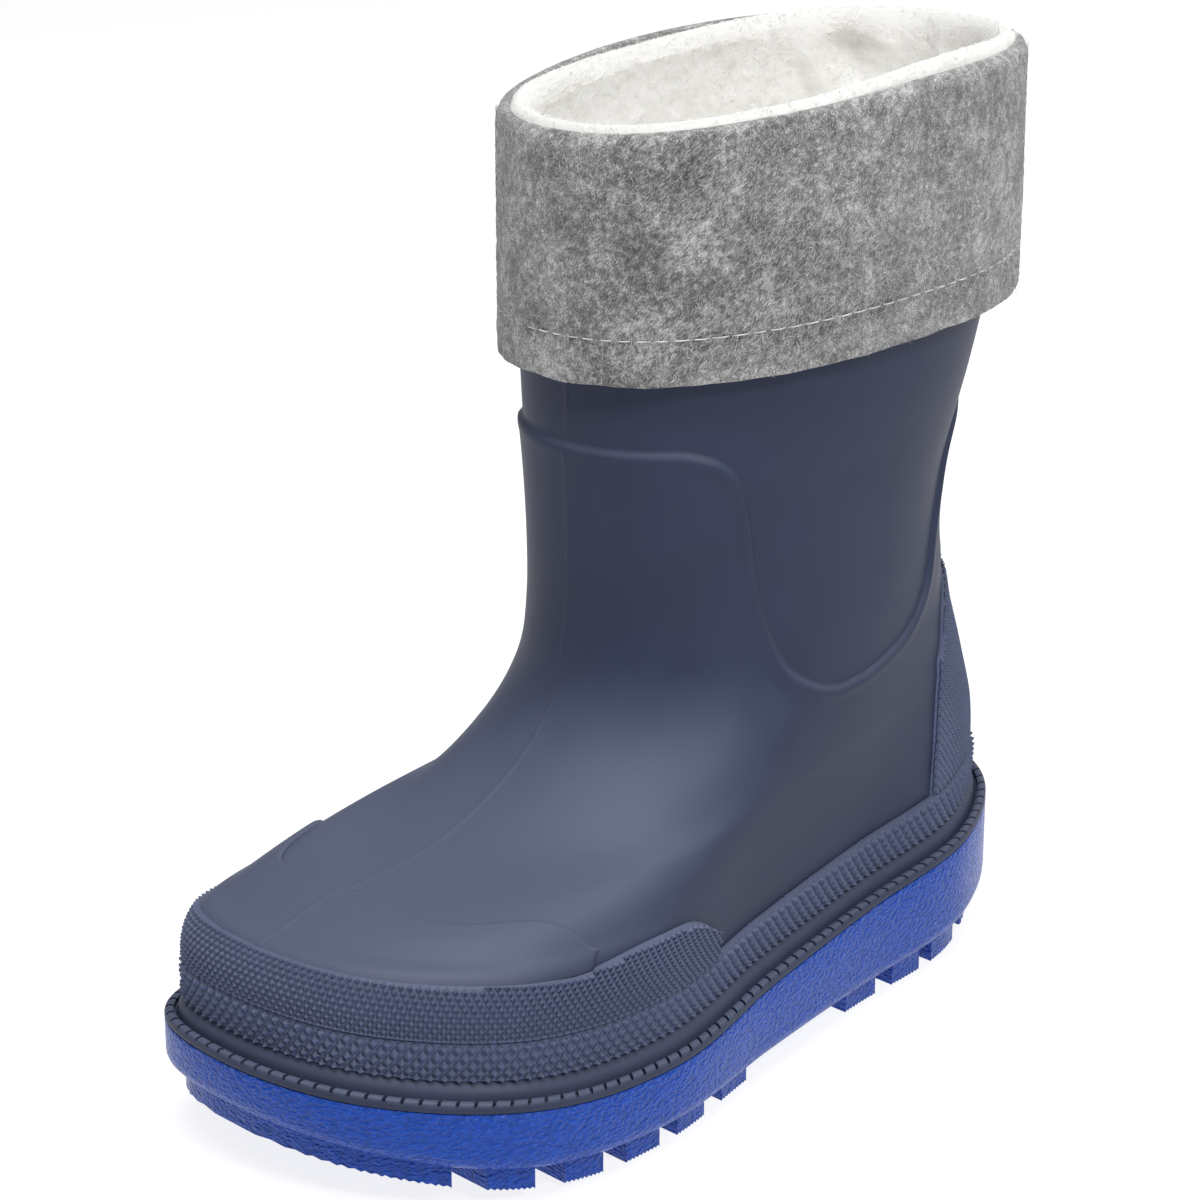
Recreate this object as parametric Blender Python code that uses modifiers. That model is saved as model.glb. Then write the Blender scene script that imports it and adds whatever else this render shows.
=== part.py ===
"""Lined rubber boot: a left boot, hollow and open at the top, standing on its lugged sole.

Metres, +Z up, toe towards -Y, outer side towards +X. Every piece is a loft through closed
sections, which are worked out from the named sizes and from short tables of shares.
"""
import math

import bmesh
import bpy
import numpy as np

MM = 0.001

# Sizes of the sole
SOLE_LENGTH = 200.0 * MM
BALL_WIDTH = 88.3 * MM
HEEL_HEIGHT = 28.5 * MM
LUG_INSET = 3.5 * MM
LUG_ROOT = 1.0 * MM

# Sizes of the upper and its shaft
SHAFT_HEIGHT = 165.0 * MM
WALL = 2.2 * MM
PANEL_STEP = 0.9 * MM
STEP_WIDTH = 1.4 * MM

# Sizes of the pieces laid on the upper
WELT_WIDTH = 5.0 * MM
WELT_HEIGHT = 4.2 * MM
RAND_HEIGHT = 7.6 * MM
RAND_THICK = 1.5 * MM
BUMPER_THICK = 1.3 * MM
CAP_THICK = 0.6 * MM
COUNTER_THICK = 0.8 * MM
EDGE_ROUND = 0.35 * MM

# Sizes of the insole and the cuff
INSOLE_THICK = 3.5 * MM
INSOLE_CLEARANCE = 0.6 * MM
CUFF_RISE = 25.0 * MM
CUFF_DEPTH = 50.0 * MM
FELT_THICK = 3.3 * MM
RIM_THICK = 5.2 * MM
LINER_THICK = 2.5 * MM
LINER_DEPTH = 20.0 * MM

GAP = 0.3 * MM
FOOT_INSET = WELT_WIDTH + GAP + PANEL_STEP
RAND_TOP = WELT_HEIGHT + 2 * GAP + RAND_HEIGHT

# How finely the sections are cut
SOLE_COLUMNS = 72
UPPER_COLUMNS = 60
CUFF_COLUMNS = 48
RAND_COLUMNS = 78
PLAIN_ROWS = 8
ROWS_TO_EDGE = 5
ROWS_ABOVE_EDGE = 6
INNER_ROWS = 11

# The sole's outline from the heel round by the outer side to the toe and back:
# along from the heel as a share of the length, across as a share of the ball's width
OUTLINE = (
    (0.000, -0.005), (0.035, 0.186), (0.150, 0.351), (0.320, 0.403),
    (0.500, 0.471), (0.680, 0.558), (0.860, 0.514), (0.965, 0.285),
    (1.000, -0.028), (0.975, -0.300), (0.870, -0.417), (0.700, -0.444),
    (0.500, -0.391), (0.320, -0.357), (0.150, -0.362), (0.035, -0.215),
)
TOE_POINT = OUTLINE.index(max(OUTLINE))
CURVE_STEPS = 24

# Heights along the sole, a row for each eighth of its length from heel to toe,
# as shares of the heel's height
LEVELS = (
    # tread   low   edge
    (0.075, 0.370, 1.000),
    (0.028, 0.270, 0.910),
    (0.000, 0.200, 0.828),
    (0.000, 0.180, 0.758),
    (0.000, 0.165, 0.684),
    (0.000, 0.168, 0.611),
    (0.008, 0.190, 0.616),
    (0.120, 0.285, 0.705),
    (0.310, 0.475, 0.786),
)
TREAD, LOW, EDGE = range(3)

# Lugs along each side: start and end as shares of the sole's length from the heel
SIDE_LUGS = (
    (0.140, 0.193), (0.216, 0.263), (0.292, 0.345), (0.526, 0.573),
    (0.607, 0.653), (0.680, 0.725), (0.755, 0.800), (0.831, 0.872),
)
# Studs down the middle: centre along, half length along and half width across, as shares
MIDDLE_STUDS = (
    (0.185, 0.034, 0.075), (0.275, 0.030, 0.085), (0.570, 0.030, 0.100),
    (0.650, 0.032, 0.120), (0.730, 0.032, 0.125), (0.810, 0.032, 0.115),
)
SIDE_LUG_REACH = 0.46
HEEL_LUG_END = 0.108
TOE_LUG_START = 0.898
END_LUG_POINTS = 17

# The upper, a row for each section from the feather line to the top of the shaft:
# front and back along the foot from the heel (shares of the foot's length), their heights
# (shares of the way from the sole's edge to the shaft's top), outer and inner half width
# (shares of the foot's own),
# how much of the sole's outline and of its sag is kept, roundness of the front and the back
UPPER = (
    # front     up    back    rise   outer   inner  foot   sag front back
    (1.000, 0.009, 0.000, 0.009, 1.000, 1.000, 1.00, 1.00, 2.50, 2.20),
    (1.000, 0.053, 0.000, 0.046, 1.000, 1.000, 1.00, 0.90, 2.50, 2.20),
    (0.999, 0.115, -0.003, 0.088, 0.994, 0.994, 1.00, 0.70, 2.50, 2.20),
    (0.983, 0.143, -0.003, 0.128, 0.980, 0.985, 1.00, 0.45, 2.50, 2.20),
    (0.959, 0.152, 0.001, 0.161, 0.952, 0.965, 0.90, 0.25, 2.60, 2.20),
    (0.924, 0.167, 0.011, 0.198, 0.918, 0.945, 0.75, 0.10, 2.60, 2.20),
    (0.876, 0.181, 0.022, 0.234, 0.880, 0.915, 0.60, 0.05, 2.50, 2.20),
    (0.817, 0.189, 0.034, 0.271, 0.847, 0.872, 0.45, 0.00, 2.40, 2.20),
    (0.764, 0.202, 0.047, 0.311, 0.822, 0.857, 0.35, 0.00, 2.30, 2.20),
    (0.711, 0.230, 0.061, 0.352, 0.800, 0.862, 0.25, 0.00, 2.20, 2.20),
    (0.660, 0.270, 0.072, 0.395, 0.783, 0.880, 0.18, 0.00, 2.10, 2.20),
    (0.620, 0.320, 0.077, 0.441, 0.770, 0.900, 0.12, 0.00, 2.05, 2.20),
    (0.594, 0.379, 0.085, 0.490, 0.762, 0.908, 0.06, 0.00, 2.05, 2.20),
    (0.582, 0.454, 0.085, 0.543, 0.760, 0.920, 0.03, 0.00, 2.10, 2.20),
    (0.579, 0.533, 0.079, 0.603, 0.764, 0.945, 0.00, 0.00, 2.15, 2.20),
    (0.579, 0.617, 0.059, 0.669, 0.777, 0.979, 0.00, 0.00, 2.20, 2.20),
    (0.583, 0.706, 0.042, 0.735, 0.805, 1.023, 0.00, 0.00, 2.20, 2.20),
    (0.584, 0.804, 0.024, 0.820, 0.827, 1.075, 0.00, 0.00, 2.20, 2.20),
    (0.585, 0.902, 0.015, 0.910, 0.844, 1.100, 0.00, 0.00, 2.20, 2.20),
    (0.585, 1.000, 0.002, 1.000, 0.857, 1.120, 0.00, 0.00, 2.20, 2.20),
)
LAST_ROW = len(UPPER) - 1
WALL_ROWS = 4

# Upper edge of the raised foot panel: turn from the heel (0) to the toe (0.5), row of the upper
PANEL_EDGE = (
    (0.000, 15.1), (0.060, 15.0), (0.085, 14.6), (0.102, 13.6), (0.112, 12.4), (0.122, 11.2),
    (0.139, 10.3), (0.161, 9.9), (0.203, 9.8), (0.240, 10.0), (0.269, 10.4), (0.296, 10.9),
    (0.322, 11.5), (0.344, 12.3), (0.360, 13.2), (0.368, 14.0), (0.374, 14.8), (0.383, 15.4),
    (0.398, 15.8), (0.425, 16.0), (0.500, 16.0),
)
# Upper edges of the laid-on pieces: turn from the toe or the heel, row of the upper
BUMPER_EDGE = ((0.000, 2.92), (0.140, 2.92), (0.172, 3.18), (0.200, 3.15), (0.215, 2.80), (0.231, 2.00))
CAP_EDGE = (
    (0.000, 6.00), (0.024, 6.00), (0.050, 5.55), (0.072, 5.45), (0.095, 5.50),
    (0.112, 5.25), (0.126, 4.75), (0.138, 4.10), (0.146, 3.50),
)
CAP_SEAM = 0.05
COUNTER_EDGE = ((0.000, 10.4), (0.035, 10.3), (0.062, 10.0), (0.080, 9.5), (0.093, 8.5), (0.099, 7.2))

# Profile of the welt: inset from the sole's edge as a share of its width, height as a share of its own
WELT_PROFILE = (
    (0.04, 0.00), (0.00, 0.20), (0.06, 0.42), (0.36, 0.46),
    (0.44, 0.74), (0.64, 1.00), (1.00, 0.92), (1.00, 0.00),
)
# Side of the sole: inset (share of the lug inset), level, share of the way from low to edge
SOLE_PROFILE = (
    (0.45, 0.00), (0.12, 0.04), (0.00, 0.14), (0.00, 0.93), (0.10, 1.00),
)
# How far the cuff's rim and hem lie below its highest point, a row for each eighth of a turn
# from the heel round by the outer side, as shares of its depth
CUFF_DROPS = (
    # rim   hem
    (0.012, 0.960), (0.000, 0.967), (0.012, 0.981), (0.076, 1.021),
    (0.152, 1.071), (0.126, 1.070), (0.068, 1.040), (0.030, 0.990),
)
CUFF_LEG = (0.0, 0.4, 0.8)
# Rounded rim of the cuff: inset from its outer side and drop below its rim, as shares of the rim's thickness
RIM_PROFILE = ((0.04, 0.45), (0.20, 0.10), (0.50, 0.00), (0.80, 0.12), (1.00, 0.60))

# Colour, roughness
MATERIALS = {
    "blue_rubber": ((0.042, 0.095, 0.41, 1.0), 0.55),
    "navy_rubber": ((0.062, 0.075, 0.125, 1.0), 0.42),
    "navy_textured": ((0.055, 0.068, 0.115, 1.0), 0.50),
    "grey_felt": ((0.30, 0.30, 0.30, 1.0), 0.95),
    "pale_fleece": ((0.85, 0.84, 0.80, 1.0), 0.95),
}


def through(table, at, closed=False):
    """Every column of a table at row numbers that may lie between two rows."""
    rows = np.asarray(table, float)
    if closed:
        rows = np.vstack([rows[-1:], rows, rows[:2]])
    else:
        rows = np.vstack([2 * rows[0] - rows[1], rows, 2 * rows[-1] - rows[-2]])
    at = np.clip(np.atleast_1d(at), 0, len(rows) - 3)
    i = np.minimum(at.astype(int), len(rows) - 4)
    u = (at - i)[:, None]
    a, b, c, d = rows[i], rows[i + 1], rows[i + 2], rows[i + 3]
    return b + 0.5 * u * (c - a + u * (2 * a - 5 * b + 4 * c - d + u * (3 * (b - c) + d - a)))


def round_curve(points, steps):
    """Closed smooth curve through the points, with the same number of steps in each span."""
    p = np.asarray(points, float)
    spans = []
    for i in range(len(p)):
        a, b, c, d = (p[(i + k) % len(p)] for k in (-1, 0, 1, 2))
        t1 = math.dist(a, b) ** 0.5
        t2 = t1 + math.dist(b, c) ** 0.5
        t3 = t2 + math.dist(c, d) ** 0.5
        t = np.linspace(t1, t2, steps, endpoint=False)[:, None]
        ab = (a * (t1 - t) + b * t) / t1
        bc = (b * (t2 - t) + c * (t - t1)) / (t2 - t1)
        cd = (c * (t3 - t) + d * (t - t2)) / (t3 - t2)
        abc = (ab * (t2 - t) + bc * t) / t2
        bcd = (bc * (t3 - t) + cd * (t - t1)) / (t3 - t1)
        spans.append((abc * (t2 - t) + bcd * (t - t1)) / (t2 - t1))
    return np.vstack(spans)


def even(points, shares):
    """Points at given shares of the length of an open line."""
    run = np.concatenate([[0], np.cumsum(np.linalg.norm(np.diff(points, axis=0), axis=1))])
    return np.stack([np.interp(shares * run[-1], run, column) for column in points.T], 1)


def sole_halves(inset):
    """Outer and inner half of the sole's outline from heel to toe, moved in by an inset."""
    table = np.array([(across * BALL_WIDTH, (0.5 - along) * SOLE_LENGTH) for along, across in OUTLINE])
    line = round_curve(table, CURVE_STEPS)
    run = np.roll(line, -1, 0) - np.roll(line, 1, 0)
    out = np.stack([-run[:, 1], run[:, 0]], 1)
    line = line - inset * out / np.linalg.norm(out, axis=1)[:, None]
    toe = TOE_POINT * CURVE_STEPS
    return line[: toe + 1], np.vstack([line[toe:], line[:1]])[::-1]


def level(y, which):
    """Height of the tread, the wall's lower edge or its upper edge at places along the sole."""
    along = np.clip(0.5 - np.asarray(y) / SOLE_LENGTH, 0, 1)
    heights = through(LEVELS, along.ravel() * (len(LEVELS) - 1))[:, which]
    return HEEL_HEIGHT * np.maximum(heights, 0).reshape(along.shape)


def join_halves(outer, inner):
    """One closed ring of points from two halves that run from heel to toe."""
    return np.vstack([outer, inner[-2:0:-1]])


def sole_ring(inset, columns):
    """Plan of a ring inside the sole's outline, its points evenly spaced on each half."""
    shares = np.linspace(0, 1, columns // 2 + 1)
    return join_halves(*(even(half, shares) for half in sole_halves(inset)))


def raised(plan, heights):
    """A plan with a height for each of its points."""
    return np.column_stack([plan, heights])


def oval(front, back, steps=181):
    """Half of an oval from back (0) to front (1), with its own roundness at each end."""
    turn = np.linspace(0, math.pi, steps)
    power = np.where(turn < math.pi / 2, back, front)
    reach = np.abs(np.cos(turn)) ** (2 / power)
    along = 0.5 - 0.5 * np.sign(np.cos(turn)) * reach
    return np.stack([along, np.sin(turn) ** (2 / power)], 1)


def section(row, columns):
    """One closed section of the upper: heel, outer side, toe, inner side."""
    front, up, back, rise, outer, inner, foot, sag, front_round, back_round = row
    halves = sole_halves(FOOT_INSET)
    heel, toe = halves[0][0, 1], halves[0][-1, 1]
    y_front, y_back = heel + front * (toe - heel), heel + back * (toe - heel)
    heel_edge, toe_edge = level(np.array([heel, toe]), EDGE)
    z_front = toe_edge + up * (SHAFT_HEIGHT - toe_edge)
    z_back = heel_edge + rise * (SHAFT_HEIGHT - heel_edge)
    shares = np.linspace(0, 1, columns // 2 + 1)
    box = np.array([SOLE_LENGTH, BALL_WIDTH / 2])
    plain = even(oval(front_round, back_round) * box, shares) / box
    sides = []
    for half, width, sign in zip(halves, (outer, inner), (1, -1)):
        reach = (sign * half[:, 0]).max()
        along = (half[:, 1] - heel) / (toe - heel)
        outline = even(np.column_stack([along, sign * half[:, 0] / reach]) * box, shares) / box
        along, across = (foot * outline + (1 - foot) * plain).T
        y = y_back + along * (y_front - y_back)
        ends = level(np.array([y_back, y_front]), EDGE)
        dip = level(y, EDGE) - (ends[0] + along * (ends[1] - ends[0]))
        z = z_back + along * (z_front - z_back) + sag * dip
        sides.append(np.column_stack([sign * across * width * reach, y, z]))
    middle = (sides[0][[0, -1], 0] + sides[1][[0, -1], 0]) / 2
    for side in sides:
        side[[0, -1], 0] = middle
    return join_halves(*sides)


class Surface:
    """The upper's outer surface sampled finely, with its outward direction at each place."""

    def __init__(self, steps_per_row=6, columns=288):
        rows = through(UPPER, np.linspace(0, LAST_ROW, LAST_ROW * steps_per_row + 1))
        self.steps = steps_per_row
        self.points = np.array([section(row, columns) for row in rows])
        around = np.roll(self.points, -1, 1) - np.roll(self.points, 1, 1)
        out = np.cross(np.gradient(self.points, axis=0), around)
        self.out = out / np.linalg.norm(out, axis=2)[:, :, None]

    def at(self, row, turn, lift=0.0):
        """Points at rows and turns (0 heel, 0.5 toe), lifted off the surface."""
        row, turn, lift = np.broadcast_arrays(*(np.asarray(v, float) for v in (row, turn, lift)))
        columns = self.points.shape[1]
        v = np.clip(row * self.steps, 0, len(self.points) - 1.001)
        u = (turn % 1.0) * columns
        i, j = v.astype(int), u.astype(int) % columns
        a, b = (v - i)[..., None], (u - u.astype(int))[..., None]
        k = (j + 1) % columns

        def mixed(grid):
            lower = (1 - b) * grid[i, j] + b * grid[i, k]
            upper = (1 - b) * grid[i + 1, j] + b * grid[i + 1, k]
            return (1 - a) * lower + a * upper

        return mixed(self.points) + mixed(self.out) * lift[..., None]

    def row_over_edge(self, turn, height):
        """Row at which the foot's wall stands a height above the sole's edge, for each turn."""
        rows = np.linspace(0, WALL_ROWS, WALL_ROWS * self.steps + 1)
        points = self.at(rows[:, None], turn[None, :], PANEL_STEP)
        over = points[..., 2] - level(points[..., 1], EDGE)
        return np.array([np.interp(height, column, rows) for column in over.T])

    def row_at_height(self, turn, height):
        """Row at which the surface stands at a height over the floor, for each turn."""
        rows = np.linspace(0, LAST_ROW, LAST_ROW * self.steps + 1)
        heights = self.at(rows[:, None], turn[None, :])[..., 2]
        return np.array([np.interp(height, column, rows) for column in heights.T])

    def row_length(self, row, turn):
        """Length of one row's span measured up the surface."""
        return np.linalg.norm(self.at(row + 0.5, turn) - self.at(row - 0.5, turn), axis=1)


def turns(columns):
    """Evenly spaced turns once round from the heel."""
    return np.arange(columns) / columns


def edge_row(table, turn):
    """Row of a symmetric edge at a turn measured from the table's own middle."""
    return np.interp(np.abs((turn + 0.5) % 1.0 - 0.5), *zip(*table))


def mesh_object(name, vertices, faces, material):
    """A smooth-shaded object from a closed hull, its faces turned outwards."""
    mesh = bpy.data.meshes.new(name)
    mesh.from_pydata([tuple(v) for v in vertices], [], faces)
    shell = bmesh.new()
    shell.from_mesh(mesh)
    bmesh.ops.recalc_face_normals(shell, faces=shell.faces)
    shell.to_mesh(mesh)
    shell.free()
    mesh.shade_smooth()
    mesh.set_sharp_from_angle(angle=math.radians(40))
    mesh.materials.append(material)
    return bpy.data.objects.new(name, mesh)


def loft(name, rings, material, tube=False):
    """Rings joined one to the next; a tube joins the last to the first, else both ends close."""
    rings = np.asarray(rings)
    count, columns = rings.shape[:2]
    faces = []
    for i in range(count if tube else count - 1):
        for j in range(columns):
            a, b = i * columns, (i + 1) % count * columns
            faces.append((a + j, a + (j + 1) % columns, b + (j + 1) % columns, b + j))
    if not tube:
        half = columns // 2
        for start in (0, (count - 1) * columns):
            across = [(start + j, start + (columns - j) % columns) for j in range(half + 1)]
            for (a, b), (c, d) in zip(across[:-1], across[1:]):
                faces.append(tuple(dict.fromkeys((a, c, d, b))))
    return mesh_object(name, rings.reshape(-1, 3), faces, material)


def patch(name, inner, outer, material):
    """A plate between two grids of points, closed along its four sides."""
    rows, columns = inner.shape[:2]
    size = rows * columns
    faces = []
    for i in range(rows - 1):
        for j in range(columns - 1):
            a = i * columns + j
            quad = (a, a + 1, a + columns + 1, a + columns)
            faces.append(quad[::-1])
            faces.append(tuple(size + v for v in quad))
    rim = list(range(columns))
    rim += [i * columns + columns - 1 for i in range(1, rows)]
    rim += [(rows - 1) * columns + j for j in range(columns - 2, -1, -1)]
    rim += [i * columns for i in range(rows - 2, 0, -1)]
    for a, b in zip(rim, rim[1:] + rim[:1]):
        faces.append((a, b, size + b, size + a))
    return mesh_object(name, np.vstack([inner.reshape(-1, 3), outer.reshape(-1, 3)]), faces, material)


def soften(piece):
    """Round the piece's sharp edges."""
    bevel = piece.modifiers.new("rounded_edges", "BEVEL")
    bevel.width = EDGE_ROUND
    bevel.segments = 1
    bevel.limit_method = "ANGLE"
    bevel.angle_limit = math.radians(50)
    return piece


def lug_block(corners, material, name):
    """A block between a lower and an upper face, each given as a ring of corners."""
    lower, upper = corners
    count = len(lower)
    faces = [tuple(range(count))[::-1], tuple(range(count, 2 * count))]
    faces += [(i, (i + 1) % count, count + (i + 1) % count, count + i) for i in range(count)]
    return mesh_object(name, np.vstack([lower, upper]), faces, material)


def lug_faces(plan):
    """Lower and upper ring of a lug with the given plan: tread below, sole body above."""
    plan = np.asarray(plan)
    return raised(plan, level(plan[:, 1], TREAD)), raised(plan, level(plan[:, 1], LOW) + LUG_ROOT)


def side_point(side, along):
    """Point of the lugs' outer line at a share of the sole's length, on one side."""
    line = sole_halves(LUG_INSET)[side]
    y = (0.5 - along) * SOLE_LENGTH
    return np.array([np.interp(-y, -line[:, 1], line[:, 0]), y])


def lug_plans():
    """Plans of every lug: pairs along the sides, studs down the middle, heel and toe blocks."""
    plans = []
    for start, end in SIDE_LUGS:
        for side in (0, 1):
            edge = [side_point(side, along) for along in (start, (start + end) / 2, end)]
            inner = [point * (1 - SIDE_LUG_REACH, 1) for point in (edge[2], edge[0])]
            plans.append(edge + inner)
    for along, half_length, half_width in MIDDLE_STUDS:
        y, x = (0.5 - along) * SOLE_LENGTH, half_width * BALL_WIDTH
        reach = half_length * SOLE_LENGTH
        plans.append([(-x, y), (0, y - reach / 2), (x, y), (0, y + reach / 2)])
    for first, last in ((0.0, HEEL_LUG_END), (TOE_LUG_START, 1.0)):
        sides = []
        for half in sole_halves(LUG_INSET):
            along = 0.5 - half[:, 1] / SOLE_LENGTH
            kept = half[(along >= first) & (along <= last)]
            sides.append(even(kept, np.linspace(0, 1, END_LUG_POINTS)))
        outer, inner = sides
        joined_at_heel = first == 0.0
        inner = inner[1:] if joined_at_heel else inner[:-1]
        plans.append(np.vstack([outer, inner[::-1]]))
    return plans


def make_outsole(material, cutters):
    """Blue sole: a body with the outline's wall, and every lug joined to its underside."""
    rings = []
    for inset, share in SOLE_PROFILE:
        plan = sole_ring(inset * LUG_INSET, SOLE_COLUMNS)
        low, edge = level(plan[:, 1], LOW), level(plan[:, 1], EDGE)
        rings.append(raised(plan, low + share * (edge - low)))
    sole = loft("outsole", rings, material)
    blocks = [lug_block(lug_faces(plan), material, "lug") for plan in lug_plans()]
    joined = bmesh.new()
    for block in blocks:
        joined.from_mesh(block.data)
        bpy.data.objects.remove(block)
    lugs = bpy.data.objects.new("lug_blocks", bpy.data.meshes.new("lug_blocks"))
    joined.to_mesh(lugs.data)
    joined.free()
    lugs.data.materials.append(material)
    lugs.hide_render = True
    lugs.display_type = "WIRE"
    cutters.objects.link(lugs)
    union = sole.modifiers.new("lugs", "BOOLEAN")
    union.operation = "UNION"
    union.solver = "EXACT"
    union.object = lugs
    return sole, lugs


def make_welt(material):
    """Navy welt: a flange with an outer lip, a groove and a bead against the upper."""
    rings = []
    for inset, height in WELT_PROFILE:
        plan = sole_ring(inset * WELT_WIDTH, SOLE_COLUMNS)
        rings.append(raised(plan, level(plan[:, 1], EDGE) + GAP + height * WELT_HEIGHT))
    return loft("welt", rings, material, tube=True)


def make_upper(surface, material):
    """Hollow upper: raised foot panel up to its edge, plain shaft above, wall of one thickness."""
    turn = turns(UPPER_COLUMNS)
    edge = edge_row(PANEL_EDGE, turn)
    seat = level(surface.at(0, turn)[:, 1], EDGE) + GAP
    outer = [surface.at(row, turn, PANEL_STEP) for row in range(PLAIN_ROWS)]
    for share in np.linspace(0, 1, ROWS_TO_EDGE + 1):
        outer.append(surface.at(PLAIN_ROWS + share * (edge - PLAIN_ROWS), turn, PANEL_STEP))
    over = edge + STEP_WIDTH / surface.row_length(edge, turn)
    for share in np.linspace(0, 1, ROWS_ABOVE_EDGE + 1):
        outer.append(surface.at(over + share * (LAST_ROW - over), turn))
    inner = [surface.at(row, turn, -WALL) for row in np.linspace(LAST_ROW, 0, INNER_ROWS + 1)]
    inner[0][:, 2] = SHAFT_HEIGHT
    outer[-1][:, 2] = SHAFT_HEIGHT
    inner[-1][:, 2] = seat
    outer[0][:, 2] = seat
    return loft("upper", outer + inner, material, tube=True)


def make_rand(surface, material):
    """Rand: a band all round the foot, above the welt."""
    turn = turns(RAND_COLUMNS)
    bottom = surface.row_over_edge(turn, WELT_HEIGHT + 2 * GAP)
    top = surface.row_over_edge(turn, RAND_TOP)
    low, high = PANEL_STEP + GAP, PANEL_STEP + GAP + RAND_THICK
    soft = EDGE_ROUND / RAND_HEIGHT * (top - bottom)
    corners = (
        (bottom, low), (bottom, high - EDGE_ROUND), (bottom + soft, high),
        (top - soft, high), (top, high - EDGE_ROUND), (top, low),
    )
    rings = [surface.at(row, turn, lift) for row, lift in corners]
    return loft("rand", rings, material, tube=True)


def make_overlay(surface, name, middle, start, edge, thickness, material, rows, columns):
    """A plate on the upper about a middle turn, from the rand or another plate up to its edge."""
    last = edge[-1][0]
    turn = last * np.linspace(-1, 1, columns)
    high = edge_row(edge, turn)
    if start is None:
        low = surface.row_over_edge(middle + turn, RAND_TOP + GAP)
    else:
        low = edge_row(start, turn) + CAP_SEAM
    share = np.linspace(0, 1, rows)[:, None]
    grid = low + share * (high - low)
    inner = surface.at(grid, middle + turn[None, :], PANEL_STEP + GAP)
    outer = surface.at(grid, middle + turn[None, :], PANEL_STEP + GAP + thickness)
    return soften(patch(name, inner, outer, material))


def make_insole(material):
    """Flat footbed on the sole, just inside the upper's wall."""
    plan = sole_ring(FOOT_INSET + WALL + INSOLE_CLEARANCE, SOLE_COLUMNS)
    seat = level(plan[:, 1], EDGE) + GAP
    return loft("insole", [raised(plan, seat), raised(plan, seat + INSOLE_THICK)], material)


def make_cuff(surface, material):
    """Felt cuff: folded over the shaft's top, with its inner leg down inside the shaft."""
    turn = turns(CUFF_COLUMNS)
    drops = through(CUFF_DROPS, turn * len(CUFF_DROPS), closed=True)
    rim, hem = (SHAFT_HEIGHT + CUFF_RISE - CUFF_DEPTH * drops).T
    outside, lining = GAP + FELT_THICK, WALL + GAP + LINER_THICK

    def ring(out, heights):
        points = surface.at(LAST_ROW, turn, out)
        points[:, 2] = heights
        return points

    rings = [ring(outside, hem + share * (rim - hem)) for share in CUFF_LEG]
    rings += [ring(outside - inset * RIM_THICK, rim - drop * RIM_THICK) for inset, drop in RIM_PROFILE]
    rings.append(ring(-lining, SHAFT_HEIGHT))
    low_row = surface.row_at_height(turn, SHAFT_HEIGHT - LINER_DEPTH)
    rings += [surface.at(low_row, turn, -depth) for depth in (lining, WALL + GAP)]
    rings += [ring(out, SHAFT_HEIGHT + GAP) for out in (-WALL - GAP, GAP)]
    rings.append(ring(GAP, hem))
    return loft("cuff", rings, material, tube=True)


def make_material(name):
    """Plain material with the part's colour and roughness."""
    colour, roughness = MATERIALS[name]
    material = bpy.data.materials.new(name)
    material.use_nodes = True
    shader = material.node_tree.nodes["Principled BSDF"]
    shader.inputs["Base Color"].default_value = colour
    shader.inputs["Roughness"].default_value = roughness
    shader.inputs["Metallic"].default_value = 0.0
    return material


def new_collection(name):
    """A collection linked to the scene."""
    collection = bpy.data.collections.new(name)
    bpy.context.scene.collection.children.link(collection)
    return collection


def world_box(pieces):
    """Lowest and highest corner of the pieces as they are evaluated."""
    bpy.context.view_layer.update()
    graph = bpy.context.evaluated_depsgraph_get()
    corners = []
    for piece in pieces:
        shown = piece.evaluated_get(graph)
        corners += [tuple(shown.matrix_world @ vertex.co) for vertex in shown.data.vertices]
    corners = np.array(corners)
    return corners.min(0), corners.max(0)


def main():
    for old in list(bpy.data.objects):
        bpy.data.objects.remove(old)
    parts = new_collection("lined_rubber_boot")
    cutters = new_collection("cutters")
    materials = {name: make_material(name) for name in MATERIALS}
    surface = Surface()
    navy, textured = materials["navy_rubber"], materials["navy_textured"]
    outsole, lugs = make_outsole(materials["blue_rubber"], cutters)
    pieces = [
        outsole,
        make_welt(navy),
        make_upper(surface, navy),
        make_rand(surface, textured),
        make_overlay(surface, "toe_bumper", 0.5, None, BUMPER_EDGE, BUMPER_THICK, textured, 4, 41),
        make_overlay(surface, "toe_cap", 0.5, BUMPER_EDGE, CAP_EDGE, CAP_THICK, navy, 6, 29),
        make_overlay(surface, "heel_counter", 0.0, None, COUNTER_EDGE, COUNTER_THICK, textured, 9, 15),
        make_insole(materials["pale_fleece"]),
        make_cuff(surface, materials["grey_felt"]),
    ]
    for piece in pieces:
        parts.objects.link(piece)
    low, high = world_box(pieces)
    middle = (low + high) / 2
    stand = bpy.data.objects.new("boot", None)
    parts.objects.link(stand)
    stand.location = (-middle[0], -middle[1], -low[2])
    for piece in pieces + [lugs]:
        piece.parent = stand


main()
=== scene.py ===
"""Looks of the lined rubber boot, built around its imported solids.

Metres, +Z up, toe towards -Y, outer side towards +X. The form comes from the same tables and
functions as the solids, cut more finely, and each surface gets its own relief and material.
"""

import math

import bmesh
import bpy
import numpy as np
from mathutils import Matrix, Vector, noise


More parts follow.
